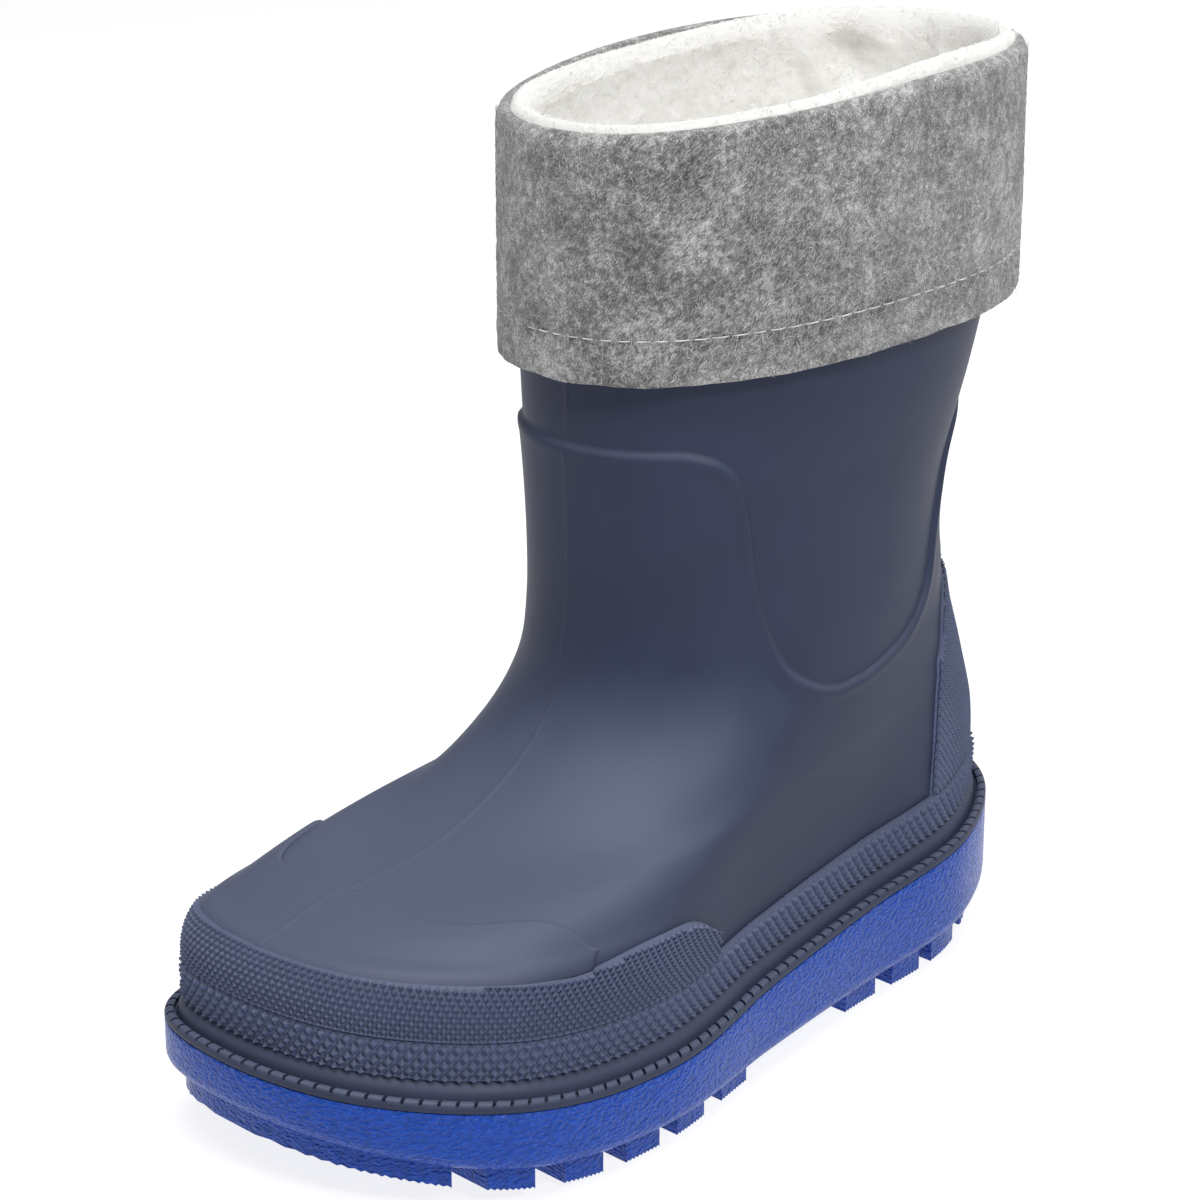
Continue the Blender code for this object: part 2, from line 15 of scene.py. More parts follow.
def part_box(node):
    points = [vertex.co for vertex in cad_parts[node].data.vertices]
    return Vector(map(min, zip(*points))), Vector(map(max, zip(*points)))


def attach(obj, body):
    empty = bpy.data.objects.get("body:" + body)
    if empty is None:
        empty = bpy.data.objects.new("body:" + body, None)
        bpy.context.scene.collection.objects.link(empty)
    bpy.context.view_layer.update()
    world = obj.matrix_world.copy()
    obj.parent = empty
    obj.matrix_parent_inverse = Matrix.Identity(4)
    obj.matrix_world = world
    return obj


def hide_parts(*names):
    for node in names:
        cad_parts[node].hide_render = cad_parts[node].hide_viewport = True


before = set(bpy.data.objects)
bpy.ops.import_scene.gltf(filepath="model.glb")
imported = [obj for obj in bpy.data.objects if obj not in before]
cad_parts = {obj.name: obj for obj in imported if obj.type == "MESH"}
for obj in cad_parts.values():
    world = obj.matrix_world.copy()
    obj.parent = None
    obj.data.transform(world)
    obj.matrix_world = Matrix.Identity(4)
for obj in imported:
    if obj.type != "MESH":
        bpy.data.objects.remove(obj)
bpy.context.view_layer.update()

MM = 0.001

# Sizes of the sole
SOLE_LENGTH = 200.0 * MM
BALL_WIDTH = 88.3 * MM
HEEL_HEIGHT = 28.5 * MM
LUG_INSET = 3.5 * MM
LUG_ROOT = 1.0 * MM

# Sizes of the upper and its shaft
SHAFT_HEIGHT = 165.0 * MM
WALL = 2.2 * MM
PANEL_STEP = 0.9 * MM
STEP_WIDTH = 1.4 * MM

# Sizes of the pieces laid on the upper
WELT_WIDTH = 5.0 * MM
WELT_HEIGHT = 4.2 * MM
RAND_HEIGHT = 7.6 * MM
RAND_THICK = 1.5 * MM
BUMPER_THICK = 1.3 * MM
CAP_THICK = 0.6 * MM
COUNTER_THICK = 0.8 * MM

# Sizes of the insole and the cuff
INSOLE_THICK = 3.5 * MM
INSOLE_CLEARANCE = 0.6 * MM
CUFF_RISE = 25.0 * MM
CUFF_DEPTH = 50.0 * MM
FELT_THICK = 3.3 * MM
LINER_THICK = 2.5 * MM

GAP = 0.3 * MM
FELT_OUT = GAP + FELT_THICK
LINING_DEPTH = WALL + GAP + LINER_THICK
FOOT_INSET = WELT_WIDTH + GAP + PANEL_STEP
RAND_TOP = WELT_HEIGHT + 2 * GAP + RAND_HEIGHT

# The sole's outline from the heel round by the outer side to the toe and back:
# along from the heel as a share of the length, across as a share of the ball's width
OUTLINE = (
    (0.000, -0.005), (0.035, 0.186), (0.150, 0.351), (0.320, 0.403),
    (0.500, 0.471), (0.680, 0.558), (0.860, 0.514), (0.965, 0.285),
    (1.000, -0.028), (0.975, -0.300), (0.870, -0.417), (0.700, -0.444),
    (0.500, -0.391), (0.320, -0.357), (0.150, -0.362), (0.035, -0.215),
)
TOE_POINT = OUTLINE.index(max(OUTLINE))

# Heights along the sole, a row for each eighth of its length from heel to toe,
# as shares of the heel's height
LEVELS = (
    # tread   low   edge
    (0.075, 0.370, 1.000),
    (0.028, 0.270, 0.910),
    (0.000, 0.200, 0.828),
    (0.000, 0.180, 0.758),
    (0.000, 0.165, 0.684),
    (0.000, 0.168, 0.611),
    (0.008, 0.190, 0.616),
    (0.120, 0.285, 0.705),
    (0.310, 0.475, 0.786),
)
TREAD, LOW, EDGE = range(3)

# Lugs along each side: start and end as shares of the sole's length from the heel
SIDE_LUGS = (
    (0.140, 0.193), (0.216, 0.263), (0.292, 0.345), (0.526, 0.573),
    (0.607, 0.653), (0.680, 0.725), (0.755, 0.800), (0.831, 0.872),
)
# Studs down the middle: centre along, half length along and half width across, as shares
MIDDLE_STUDS = (
    (0.185, 0.034, 0.075), (0.275, 0.030, 0.085), (0.570, 0.030, 0.100),
    (0.650, 0.032, 0.120), (0.730, 0.032, 0.125), (0.810, 0.032, 0.115),
)
SIDE_LUG_REACH = 0.46
HEEL_LUG = (0.0185, 0.108)
TOE_LUG = (0.898, 0.9815)
STUD_TIP = 0.02

# The upper, a row for each section from the feather line to the top of the shaft:
# front and back along the foot from the heel (shares of the foot's length), their heights
# (shares of the way from the sole's edge to the shaft's top), outer and inner half width
# (shares of the foot's own),
# how much of the sole's outline and of its sag is kept, roundness of the front and the back
UPPER = (
    # front     up    back    rise   outer   inner  foot   sag front back
    (1.000, 0.009, 0.000, 0.009, 1.000, 1.000, 1.00, 1.00, 2.50, 2.20),
    (1.000, 0.053, 0.000, 0.046, 1.000, 1.000, 1.00, 0.90, 2.50, 2.20),
    (0.999, 0.115, -0.003, 0.088, 0.994, 0.994, 1.00, 0.70, 2.50, 2.20),
    (0.983, 0.143, -0.003, 0.128, 0.980, 0.985, 1.00, 0.45, 2.50, 2.20),
    (0.959, 0.152, 0.001, 0.161, 0.952, 0.965, 0.90, 0.25, 2.60, 2.20),
    (0.924, 0.167, 0.011, 0.198, 0.918, 0.945, 0.75, 0.10, 2.60, 2.20),
    (0.876, 0.181, 0.022, 0.234, 0.880, 0.915, 0.60, 0.05, 2.50, 2.20),
    (0.817, 0.189, 0.034, 0.271, 0.847, 0.872, 0.45, 0.00, 2.40, 2.20),
    (0.764, 0.202, 0.047, 0.311, 0.822, 0.857, 0.35, 0.00, 2.30, 2.20),
    (0.711, 0.230, 0.061, 0.352, 0.800, 0.862, 0.25, 0.00, 2.20, 2.20),
    (0.660, 0.270, 0.072, 0.395, 0.783, 0.880, 0.18, 0.00, 2.10, 2.20),
    (0.620, 0.320, 0.077, 0.441, 0.770, 0.900, 0.12, 0.00, 2.05, 2.20),
    (0.594, 0.379, 0.085, 0.490, 0.762, 0.908, 0.06, 0.00, 2.05, 2.20),
    (0.582, 0.454, 0.085, 0.543, 0.760, 0.920, 0.03, 0.00, 2.10, 2.20),
    (0.579, 0.533, 0.079, 0.603, 0.764, 0.945, 0.00, 0.00, 2.15, 2.20),
    (0.579, 0.617, 0.059, 0.669, 0.777, 0.979, 0.00, 0.00, 2.20, 2.20),
    (0.583, 0.706, 0.042, 0.735, 0.805, 1.023, 0.00, 0.00, 2.20, 2.20),
    (0.584, 0.804, 0.024, 0.820, 0.827, 1.075, 0.00, 0.00, 2.20, 2.20),
    (0.585, 0.902, 0.015, 0.910, 0.844, 1.100, 0.00, 0.00, 2.20, 2.20),
    (0.585, 1.000, 0.002, 1.000, 0.857, 1.120, 0.00, 0.00, 2.20, 2.20),
)
LAST_ROW = len(UPPER) - 1
WALL_ROWS = 4

# Upper edge of the raised foot panel: turn from the heel (0) to the toe (0.5), row of the upper
PANEL_EDGE = (
    (0.000, 15.1), (0.060, 15.0), (0.085, 14.6), (0.102, 13.6), (0.112, 12.4), (0.122, 11.2),
    (0.139, 10.3), (0.161, 9.9), (0.203, 9.8), (0.240, 10.0), (0.269, 10.4), (0.296, 10.9),
    (0.322, 11.5), (0.344, 12.3), (0.360, 13.2), (0.368, 14.0), (0.374, 14.8), (0.383, 15.4),
    (0.398, 15.8), (0.425, 16.0), (0.500, 16.0),
)
# Upper edges of the laid-on pieces: turn from the toe or the heel, row of the upper
BUMPER_EDGE = ((0.000, 2.92), (0.140, 2.92), (0.172, 3.18), (0.200, 3.15), (0.215, 2.80), (0.231, 2.00))
CAP_EDGE = (
    (0.000, 6.00), (0.024, 6.00), (0.050, 5.55), (0.072, 5.45), (0.095, 5.50),
    (0.112, 5.25), (0.126, 4.75), (0.138, 4.10), (0.146, 3.50),
)
COUNTER_EDGE = ((0.000, 10.4), (0.035, 10.3), (0.062, 10.0), (0.080, 9.5), (0.093, 8.5), (0.099, 7.2))
# The plates themselves: middle turn, lower edge if not the rand's, upper edge, rows and columns
BUMPER_SPEC = (0.5, None, BUMPER_EDGE, 30, 301)
CAP_SPEC = (0.5, BUMPER_EDGE, CAP_EDGE, 60, 361)
COUNTER_SPEC = (0.0, None, COUNTER_EDGE, 60, 101)

# How far the cuff's rim and hem lie below its highest point, a row for each eighth of a turn
# from the heel round by the outer side, as shares of its depth
CUFF_DROPS = (
    # rim   hem
    (0.012, 0.960), (0.000, 0.967), (0.012, 0.981), (0.076, 1.021),
    (0.152, 1.071), (0.126, 1.070), (0.068, 1.040), (0.030, 0.990),
)

# How finely the looks are cut
FINE_TURNS = 1440
UPPER_TURNS = 340
CUFF_TURNS = 420
LINING_TURNS = 300
INSOLE_TURNS = 240
SOLE_TURNS = 420
ROWS_BELOW, ROWS_OVER_STEP, ROWS_ABOVE = 110, 12, 50
CUFF_ROWS = 64
WALL_INNER_ROWS = 24
LINING_ROWS, LINING_BACK_ROWS, COLLAR_ROWS = 90, 12, 26
FACE_ROWS, PILE_ROWS = 40, 12
CURVE_STEPS = 48

# Relief of the moulded shell
PANEL_BLEND = 3.2 * MM
PANEL_BEAD = 0.22 * MM
SEAT = 0.03 * MM
SEAM_TURNS = (0.0, 0.4985)
SEAM_WIDTH = 0.45 * MM
SEAM_LIFT = 0.14 * MM
SEAM_STEPS = (-2.2, -1.0, 0.0, 1.0, 2.2)
SHAFT_GIRTH = 290.0 * MM
OVERLAY_SOFT = 1.3 * MM
SHARP_ANGLE = math.radians(38)
EDGE_EASE = 0.008
# Face of the rand: share of the way up, share of its thickness
RAND_PROFILE = (
    (0.0, 0.55), (0.02, 0.86), (0.06, 1.0), (0.30, 1.0), (0.60, 1.0), (0.90, 1.0), (0.97, 0.86), (1.0, 0.55),
)
# Soft folds: row and turn of the middle, half rows, half turn, depth in millimetres
FOLDS = (
    (11.2, 0.500, 1.3, 0.075, 0.45),
    (13.4, 0.470, 1.0, 0.060, 0.25),
    (11.6, 0.010, 1.4, 0.060, 0.30),
    (9.6, 0.360, 1.2, 0.050, -0.25),
    (9.6, 0.640, 1.2, 0.050, -0.25),
)

# Lattices of pyramids
RAND_PITCH = 2.4 * MM
BUMPER_PITCH = 1.6 * MM
COUNTER_PITCH = 1.6 * MM
PYRAMID_ASPECT = 1.16
RAND_LINES = 2.5
RAND_RELIEF = 0.95 * MM
BUMPER_RELIEF = 0.66 * MM
COUNTER_RELIEF = 0.50 * MM
PYRAMID_ROOT = 0.12 * MM
# Reach of the painted shade between the pyramids
VALLEY_SHADE_REACH = 0.9 * MM
PYRAMID_BASE, PYRAMID_TIP = 0.93, 0.13
RAND_MIDDLE_ROW = 1.1
CHART_ROWS, CHART_COLUMNS = 60, 481
BORDER = 0.25 * MM

# Welt: inset and height as shares of its size, and how far a notch cuts each line
WELT_FINE = (
    (0.05, 0.00, 0.0), (0.00, 0.08, 0.0), (0.00, 0.24, 0.0), (0.03, 0.38, 0.1), (0.08, 0.46, 0.9),
    (0.16, 0.50, 1.0), (0.30, 0.50, 1.0), (0.36, 0.45, 0.9), (0.38, 0.24, 0.0), (0.44, 0.20, 0.0),
    (0.48, 0.40, 0.0), (0.54, 0.64, 0.0), (0.62, 0.84, 0.0), (0.74, 1.00, 0.0), (0.84, 1.10, 0.0),
    (0.95, 1.17, 0.0), (1.06, 1.18, 0.0), (1.06, 0.00, 0.0),
)
NOTCH_PITCH = 3.3 * MM
NOTCH_DEPTH = 1.0 * MM
NOTCH_CELL = (0.00, 0.25, 0.55, 0.78, 0.82, 0.95)
NOTCH_DEEP = (0.0, 0.0, 0.0, 0.0, 1.0, 1.0)

# Sole: inset in millimetres, share of the way from low to edge, rise in millimetres
SOLE_FINE = (
    (7.0, 0.0, 0.3), (3.2, 0.0, 0.0), (2.2, 0.0, 0.1), (1.2, 0.0, 0.6), (0.5, 0.0, 1.3), (0.1, 0.0, 2.3),
    (0.0, 0.0, 3.2), (0.0, 0.5, 1.5), (0.0, 1.0, -0.5), (0.15, 1.0, -0.1), (0.5, 1.0, 0.0), (7.0, 1.0, 0.0),
)
RIB_PITCH = 1.05 * MM
RIB_DEPTH = 0.4 * MM
END_WAVE = 0.3 * MM

# Cuff and lining: insets and drops in millimetres, as a share of the felt's thickness at the hem
FELT_RIM = ((0.08, 1.7), (0.3, 0.85), (0.75, 0.15), (1.4, -0.3), (2.2, -0.45), (2.9, -0.1), (3.3, 0.9))
FELT_ROLL = 2.8 * MM
HEM_ROUND = ((0.10, -0.3), (0.25, 0.2), (0.50, 0.45), (0.75, 0.35), (0.92, 0.1))
HEM_PUCKER = 0.35 * MM
PUCKER_TIGHT = 18
HEM_LUMP_SHARE = 0.6
# Back of the felt: how far below the rim it starts and above the hem it ends, and its rows
BACK_DROP, BACK_RISE, BACK_ROWS = 2 * MM, 0.8 * MM, 8
STITCH_RISE = 8.6 * MM
STITCH_PITCH = 3.6 * MM
THREAD = 0.14 * MM
FLEECE_RIM = (
    (2.3, 1.2), (2.6, -0.1), (3.0, -0.9), (3.7, -1.5), (4.6, -1.6),
    (5.5, -1.1), (6.3, 0.0), (6.8, 1.6), (7.0, 3.6),
)
# Rise of the fleece over the felt: turn, half turn, rise in millimetres. It fades out over
# the last millimetres of the rim's drop.
FLEECE_RISE = ((0.20, 0.10, 1.4), (0.76, 0.13, -1.9))
RISE_FADE = 3.0
# Lumps and waves: height and size in millimetres, octaves of noise
FELT_LUMPS = ((0.45, 26.0, 2), (0.22, 3.2, 3))
HEM_WAVES = ((0.5, 11.0, 2),)
FLEECE_LUMPS = ((0.30, 9.0, 2), (0.22, 2.6, 3))
# Folds inside the collar: turn, half turn, and in millimetres the depth below the rim, half
# that depth's spread, and the push inwards
INNER_FOLDS = (
    (0.912, 0.010, 8.0, 7.0, 1.6), (0.936, 0.014, 9.0, 5.0, -2.2), (0.962, 0.012, 6.0, 6.0, 1.0),
    (0.948, 0.020, 17.0, 4.0, 1.2), (0.001, 0.0035, 9.0, 9.0, 0.7), (0.700, 0.060, 22.0, 9.0, 0.8),
)
INSOLE_ROUND = ((0.6, 0.0), (0.0, 0.2), (0.0, 0.75), (0.3, 0.95), (0.9, 1.0), (9.0, 0.92))

# Stitches: rise of each ring of the thread over the felt in millimetres, start and end of a
# stitch in its pitch, sides of the thread, and how far it sinks into the pucker
STITCH_RISES = (-0.25, 0.15, 0.25, 0.25, 0.15, -0.25)
STITCH_SHARES = (0.06, 0.94)
STITCH_SIDES = 6
THREAD_SINK = 0.7

# Fibres: the way they drift, how much some stand up, the ranges of length, bend and curl,
# how deep the roots sit, and how far down the collar the pile goes in millimetres
FIBRE_DRIFT = (0.8, 0.8, 1.76)
FIBRE_STAND = 0.12
FIBRE_LENGTHS = (0.5, 1.3)
FIBRE_BENDS = (0.2, 1.0)
FIBRE_CURL = 0.18
FIBRE_ROOT = 0.1 * MM
PILE_DEPTH = 21.0
# Fibres on the felt and on the fleece: count, length, width, how flat they lie, seed
FELT_FUZZ = (16000, 2.3 * MM, 0.060 * MM, 0.97, 7)
FLEECE_FUZZ = (9000, 1.6 * MM, 0.06 * MM, 0.6, 11)

# The photograph's camera, about the boot's middle
CAMERA_AZIMUTH = math.radians(45.31)
CAMERA_ELEVATION = math.radians(19.29)
CAMERA_DISTANCE = 0.680
CAMERA_AIM = (-6.44 * MM, 0.0, 86.2 * MM)
LENS_MM = 104.3

# Colours, linear
BLACK, WHITE = (0, 0, 0), (1, 1, 1)
NAVY = (0.033, 0.042, 0.080)
# Painted light on faces that look up; also the tone of the rubber's small pale specks
TOP_LIGHT_AND_SPECK_TONE = (0.083, 0.097, 0.150)
BLUE = (0.010, 0.064, 0.40)
FELT_TONES = ((0.040, 0.040, 0.041), (0.14, 0.14, 0.14), (0.29, 0.29, 0.29), (0.62, 0.62, 0.615))
FELT_STOPS = (0.41, 0.475, 0.52, 0.575)
FLEECE_TONES = ((0.755, 0.74, 0.705), (0.83, 0.82, 0.79))
# Painted shade on fleece that faces up
FLEECE_TOP_SHADE = (0.60, 0.595, 0.58)
THREAD_TONES = ((0.42, 0.42, 0.42), (0.74, 0.74, 0.73))
WOOL_TONES = ((0.12, 0.12, 0.12), (0.80, 0.80, 0.79))
PILE_TONES = ((0.78, 0.77, 0.74), (0.90, 0.89, 0.87))

# Navy rubbers: roughness, depth of the grain, gain of the tone, and how far up a face has to
# look for the painted light on it to begin and to be full. The relief's higher gain makes it a lighter
# copy of the same navy, as painted light on its pyramids and to make up for the painted shade in its valleys
SHELL_RUBBER = (0.47, 0.020 * MM, 1.0, (0.25, 1.0))
RELIEF_RUBBER = (0.48, 0.030 * MM, 3.3, (0.05, 0.65))

# Sizes of the materials' patterns
NAVY_CLOUD, NAVY_WAVE, NAVY_SPECKS, NAVY_FINE = 22 * MM, 5 * MM, 1.1 * MM, 0.35 * MM
BLUE_CELL, BLUE_FINE, BLUE_DEPTH = 0.68 * MM, 0.6 * MM, 0.42 * MM
BLUE_STRETCH = (1.5, 1.5, 0.85)
FELT_CLOUD, FELT_CLUMP, FELT_STRAND, FELT_CROSS = 9 * MM, 1.5 * MM, 0.24 * MM, 0.22 * MM
FELT_STRETCH, FELT_LEAN = (1.0, 1.0, 3.2), (-0.42, 0.467, 0.0)
CROSS_STRETCH, CROSS_LEAN = (1.0, 2.8, 1.0), (0.3, 0.2, 0.8)
FELT_DEPTH = 0.35 * MM
FLEECE_PILE, FLEECE_TUFT = 1.7 * MM, 7 * MM

# Studio: size, tone and glow of the floor, light of the surround, where the soft boxes aim, and
# each one's name, power in watts, size, azimuth, elevation and distance
FLOOR_SIZE = 8.0
FLOOR_TONE = 0.25
FLOOR_GLOW = 0.85
SURROUND = 0.10
LIGHT_AIM = (0.0, 0.0, 0.09)
LIGHTS = (
    ("key", 4.8, 0.25, 82.0, 40.0, 1.1),
    ("top", 18.0, 0.9, 26.0, 78.0, 1.2),
    ("back", 5.5, 1.2, 190.0, 36.0, 1.3),
)


def through(table, at, closed=False):
    """Every column of a table at row numbers that may lie between two rows."""
    rows = np.asarray(table, float)
    if closed:
        rows = np.vstack([rows[-1:], rows, rows[:2]])
    else:
        rows = np.vstack([2 * rows[0] - rows[1], rows, 2 * rows[-1] - rows[-2]])
    at = np.clip(np.atleast_1d(at), 0, len(rows) - 3)
    i = np.minimum(at.astype(int), len(rows) - 4)
    u = (at - i)[:, None]
    a, b, c, d = rows[i], rows[i + 1], rows[i + 2], rows[i + 3]
    return b + 0.5 * u * (c - a + u * (2 * a - 5 * b + 4 * c - d + u * (3 * (b - c) + d - a)))


def round_curve(points, steps):
    """Closed smooth curve through the points, with the same number of steps in each span."""
    p = np.asarray(points, float)
    spans = []
    for i in range(len(p)):
        a, b, c, d = (p[(i + k) % len(p)] for k in (-1, 0, 1, 2))
        t1 = math.dist(a, b) ** 0.5
        t2 = t1 + math.dist(b, c) ** 0.5
        t3 = t2 + math.dist(c, d) ** 0.5
        t = np.linspace(t1, t2, steps, endpoint=False)[:, None]
        ab = (a * (t1 - t) + b * t) / t1
        bc = (b * (t2 - t) + c * (t - t1)) / (t2 - t1)
        cd = (c * (t3 - t) + d * (t - t2)) / (t3 - t2)
        abc = (ab * (t2 - t) + bc * t) / t2
        bcd = (bc * (t3 - t) + cd * (t - t1)) / (t3 - t1)
        spans.append((abc * (t2 - t) + bcd * (t - t1)) / (t2 - t1))
    return np.vstack(spans)


def run_along(line):
    """Length run along an open line at each of its points."""
    return np.concatenate([[0], np.cumsum(np.linalg.norm(np.diff(line, axis=0), axis=1))])


def even(points, shares):
    """Points at given shares of the length of an open line."""
    run = run_along(points)
    return np.stack([np.interp(shares * run[-1], run, column) for column in points.T], 1)


def sole_halves(inset):
    """Outer and inner half of the sole's outline from heel to toe, moved in by an inset."""
    table = np.array([(across * BALL_WIDTH, (0.5 - along) * SOLE_LENGTH) for along, across in OUTLINE])
    line = round_curve(table, CURVE_STEPS)
    run = np.roll(line, -1, 0) - np.roll(line, 1, 0)
    out = np.stack([-run[:, 1], run[:, 0]], 1)
    line = line - inset * out / np.linalg.norm(out, axis=1)[:, None]
    toe = TOE_POINT * CURVE_STEPS
    return line[: toe + 1], np.vstack([line[toe:], line[:1]])[::-1]


def level(y, which):
    """Height of the tread, the wall's lower edge or its upper edge at places along the sole."""
    along = np.clip(0.5 - np.asarray(y) / SOLE_LENGTH, 0, 1)
    heights = through(LEVELS, along.ravel() * (len(LEVELS) - 1))[:, which]
    return HEEL_HEIGHT * np.maximum(heights, 0).reshape(along.shape)


def join_halves(outer, inner):
    """One closed ring of points from two halves that run from heel to toe."""
    return np.vstack([outer, inner[-2:0:-1]])


def sole_ring(inset, columns):
    """Plan of a ring inside the sole's outline, its points evenly spaced on each half."""
    shares = np.linspace(0, 1, columns // 2 + 1)
    return join_halves(*(even(half, shares) for half in sole_halves(inset)))


def raised(plan, heights):
    """A plan with a height for each of its points."""
    return np.column_stack([plan, heights])


def oval(front, back, steps=181):
    """Half of an oval from back (0) to front (1), with its own roundness at each end."""
    turn = np.linspace(0, math.pi, steps)
    power = np.where(turn < math.pi / 2, back, front)
    reach = np.abs(np.cos(turn)) ** (2 / power)
    along = 0.5 - 0.5 * np.sign(np.cos(turn)) * reach
    return np.stack([along, np.sin(turn) ** (2 / power)], 1)


def section(row, columns):
    """One closed section of the upper: heel, outer side, toe, inner side."""
    front, up, back, rise, outer, inner, foot, sag, front_round, back_round = row
    halves = sole_halves(FOOT_INSET)
    heel, toe = halves[0][0, 1], halves[0][-1, 1]
    y_front, y_back = heel + front * (toe - heel), heel + back * (toe - heel)
    heel_edge, toe_edge = level(np.array([heel, toe]), EDGE)
    z_front = toe_edge + up * (SHAFT_HEIGHT - toe_edge)
    z_back = heel_edge + rise * (SHAFT_HEIGHT - heel_edge)
    shares = np.linspace(0, 1, columns // 2 + 1)
    box = np.array([SOLE_LENGTH, BALL_WIDTH / 2])
    plain = even(oval(front_round, back_round) * box, shares) / box
    sides = []
    for half, width, sign in zip(halves, (outer, inner), (1, -1)):
        reach = (sign * half[:, 0]).max()
        along = (half[:, 1] - heel) / (toe - heel)
        outline = even(np.column_stack([along, sign * half[:, 0] / reach]) * box, shares) / box
        along, across = (foot * outline + (1 - foot) * plain).T
        y = y_back + along * (y_front - y_back)
        ends = level(np.array([y_back, y_front]), EDGE)
        dip = level(y, EDGE) - (ends[0] + along * (ends[1] - ends[0]))
        z = z_back + along * (z_front - z_back) + sag * dip
        sides.append(np.column_stack([sign * across * width * reach, y, z]))
    middle = (sides[0][[0, -1], 0] + sides[1][[0, -1], 0]) / 2
    for side in sides:
        side[[0, -1], 0] = middle
    return join_halves(*sides)


def unit(vectors):
    """Vectors of a list or a grid at length one."""
    return vectors / np.linalg.norm(vectors, axis=-1, keepdims=True)


def crossed(grid):
    """Direction across a closed ring grid at each of its points."""
    around = np.roll(grid, -1, 1) - np.roll(grid, 1, 1)
    return unit(np.cross(np.gradient(grid, axis=0), around))


class Surface:
    """The upper's outer surface sampled finely, with its outward direction at each place."""

    def __init__(self, steps_per_row=10, columns=720):
        rows = through(UPPER, np.linspace(0, LAST_ROW, LAST_ROW * steps_per_row + 1))
        self.steps = steps_per_row
        self.points = np.array([section(row, columns) for row in rows])
        self.out = crossed(self.points)

    def at(self, row, turn, lift=0.0):
        """Points at rows and turns (0 heel, 0.5 toe), lifted off the surface."""
        row, turn, lift = np.broadcast_arrays(*(np.asarray(v, float) for v in (row, turn, lift)))
        columns = self.points.shape[1]
        last = len(self.points) - 1
        v = np.clip(row * self.steps, 0, last - 0.001)
        u = (turn % 1.0) * columns
        i, j = v.astype(int), u.astype(int)
        a, b = (v - i)[..., None], (u - j)[..., None]
        near = [(j + step) % columns for step in (-1, 0, 1, 2)]

        def cubic(p, q, r, s, t):
            return q + 0.5 * t * (r - p + t * (2 * p - 5 * q + 4 * r - s + t * (3 * (q - r) + s - p)))

        def mixed(grid):
            rows = [np.clip(i + step, 0, last) for step in (-1, 0, 1, 2)]
            return cubic(*(cubic(*(grid[row, column] for column in near), b) for row in rows), a)

        return mixed(self.points) + mixed(self.out) * lift[..., None]

    def row_over_edge(self, turn, height):
        """Row at which the foot's wall stands a height above the sole's edge, for each turn."""
        rows = np.linspace(0, WALL_ROWS, WALL_ROWS * self.steps + 1)
        points = self.at(rows[:, None], turn[None, :], PANEL_STEP)
        over = points[..., 2] - level(points[..., 1], EDGE)
        return np.array([np.interp(height, column, rows) for column in over.T])

    def row_length(self, row, turn):
        """Length of one row's span measured up the surface."""
        return np.linalg.norm(self.at(row + 0.5, turn) - self.at(row - 0.5, turn), axis=1)


def turns(columns):
    """Evenly spaced turns once round from the heel."""
    return np.arange(columns) / columns


def turn_from(middle, turn):
    """Signed way round from a middle turn to each turn, from -0.5 to 0.5."""
    return (turn - middle + 0.5) % 1.0 - 0.5


def seam_lift(middle, turn):
    """Rise of a parting seam over the surface."""
    off = turn_from(middle, turn) * SHAFT_GIRTH / SEAM_WIDTH
    return SEAM_LIFT * np.clip(1 - np.abs(off), 0, 1)


def edge_row(table, turn):
    """Row of a symmetric edge at a turn measured from the table's own middle, its corners eased."""
    near = [np.abs(turn_from(0.0, turn + off * EDGE_EASE)) for off in np.linspace(-1, 1, 9)]
    return np.mean([np.interp(off, *zip(*table)) for off in near], axis=0)


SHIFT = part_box("outsole")[0].x - sole_ring(0, FINE_TURNS)[:, 0].min()


def soft_step(value):
    """Smooth rise from 0 to 1 while the value goes from 0 to 1."""
    t = np.clip(value, 0, 1)
    return t * t * (3 - 2 * t)


def rounded(distance, radius):
    """Quarter-round rise from 0 at an edge to 1 at a radius from it."""
    return np.sqrt(np.clip(1 - (1 - np.clip(distance / radius, 0, 1)) ** 2, 0, 1))


def repeated(pattern, size, count):
    """A pattern of faces repeated for each block of points of a size."""
    return [tuple(size * n + v for v in face) for n in range(count) for face in pattern]


def pyramids(locate, surface, size, wide, tall, lift, relief):
    """Points and faces of a lattice of blunt pyramids that stand on their corners."""
    rows = round(size[1] / tall * 2)
    columns = round(size[0] / wide)
    j, i = np.divmod(np.arange(rows * columns), columns)
    across = (i + 0.5 * (j % 2)) * wide
    up = (j + 0.5) * tall / 2
    corners = np.array([(1, 0), (0, 1), (-1, 0), (0, -1)])
    spread = np.concatenate([corners * PYRAMID_BASE, corners * PYRAMID_TIP]) * (wide / 2, tall / 2)
    _, _, kept = locate(across, up)
    across, up = across[kept][:, None] + spread[:, 0], up[kept][:, None] + spread[:, 1]
    row, turn, _ = locate(across.ravel(), up.ravel())
    height = np.tile([lift - PYRAMID_ROOT] * 4 + [lift + relief] * 4, len(across))
    points = surface.at(row, turn, height)
    pattern = [(3, 2, 1, 0), (4, 5, 6, 7), (0, 1, 5, 4), (1, 2, 6, 5), (2, 3, 7, 6), (3, 0, 4, 7)]
    return points, repeated(pattern, 8, len(across))


def joined(*parts):
    """Points and faces of several parts as one list each."""
    points, faces, start = [], [], 0
    for part_points, part_faces in parts:
        flat = np.asarray(part_points).reshape(-1, 3)
        points.append(flat)
        faces += [tuple(start + v for v in face) for face in part_faces]
        start += len(flat)
    return np.vstack(points), faces


def lumps(points, size, octaves):
    """Smooth noise from about -1 to 1 at each point, with lumps of a size."""
    flat = points.reshape(-1, 3) / size
    values = [noise.fractal(Vector(p), 1.0, 2.0, octaves) for p in flat.tolist()]
    return np.array(values).reshape(points.shape[:-1])


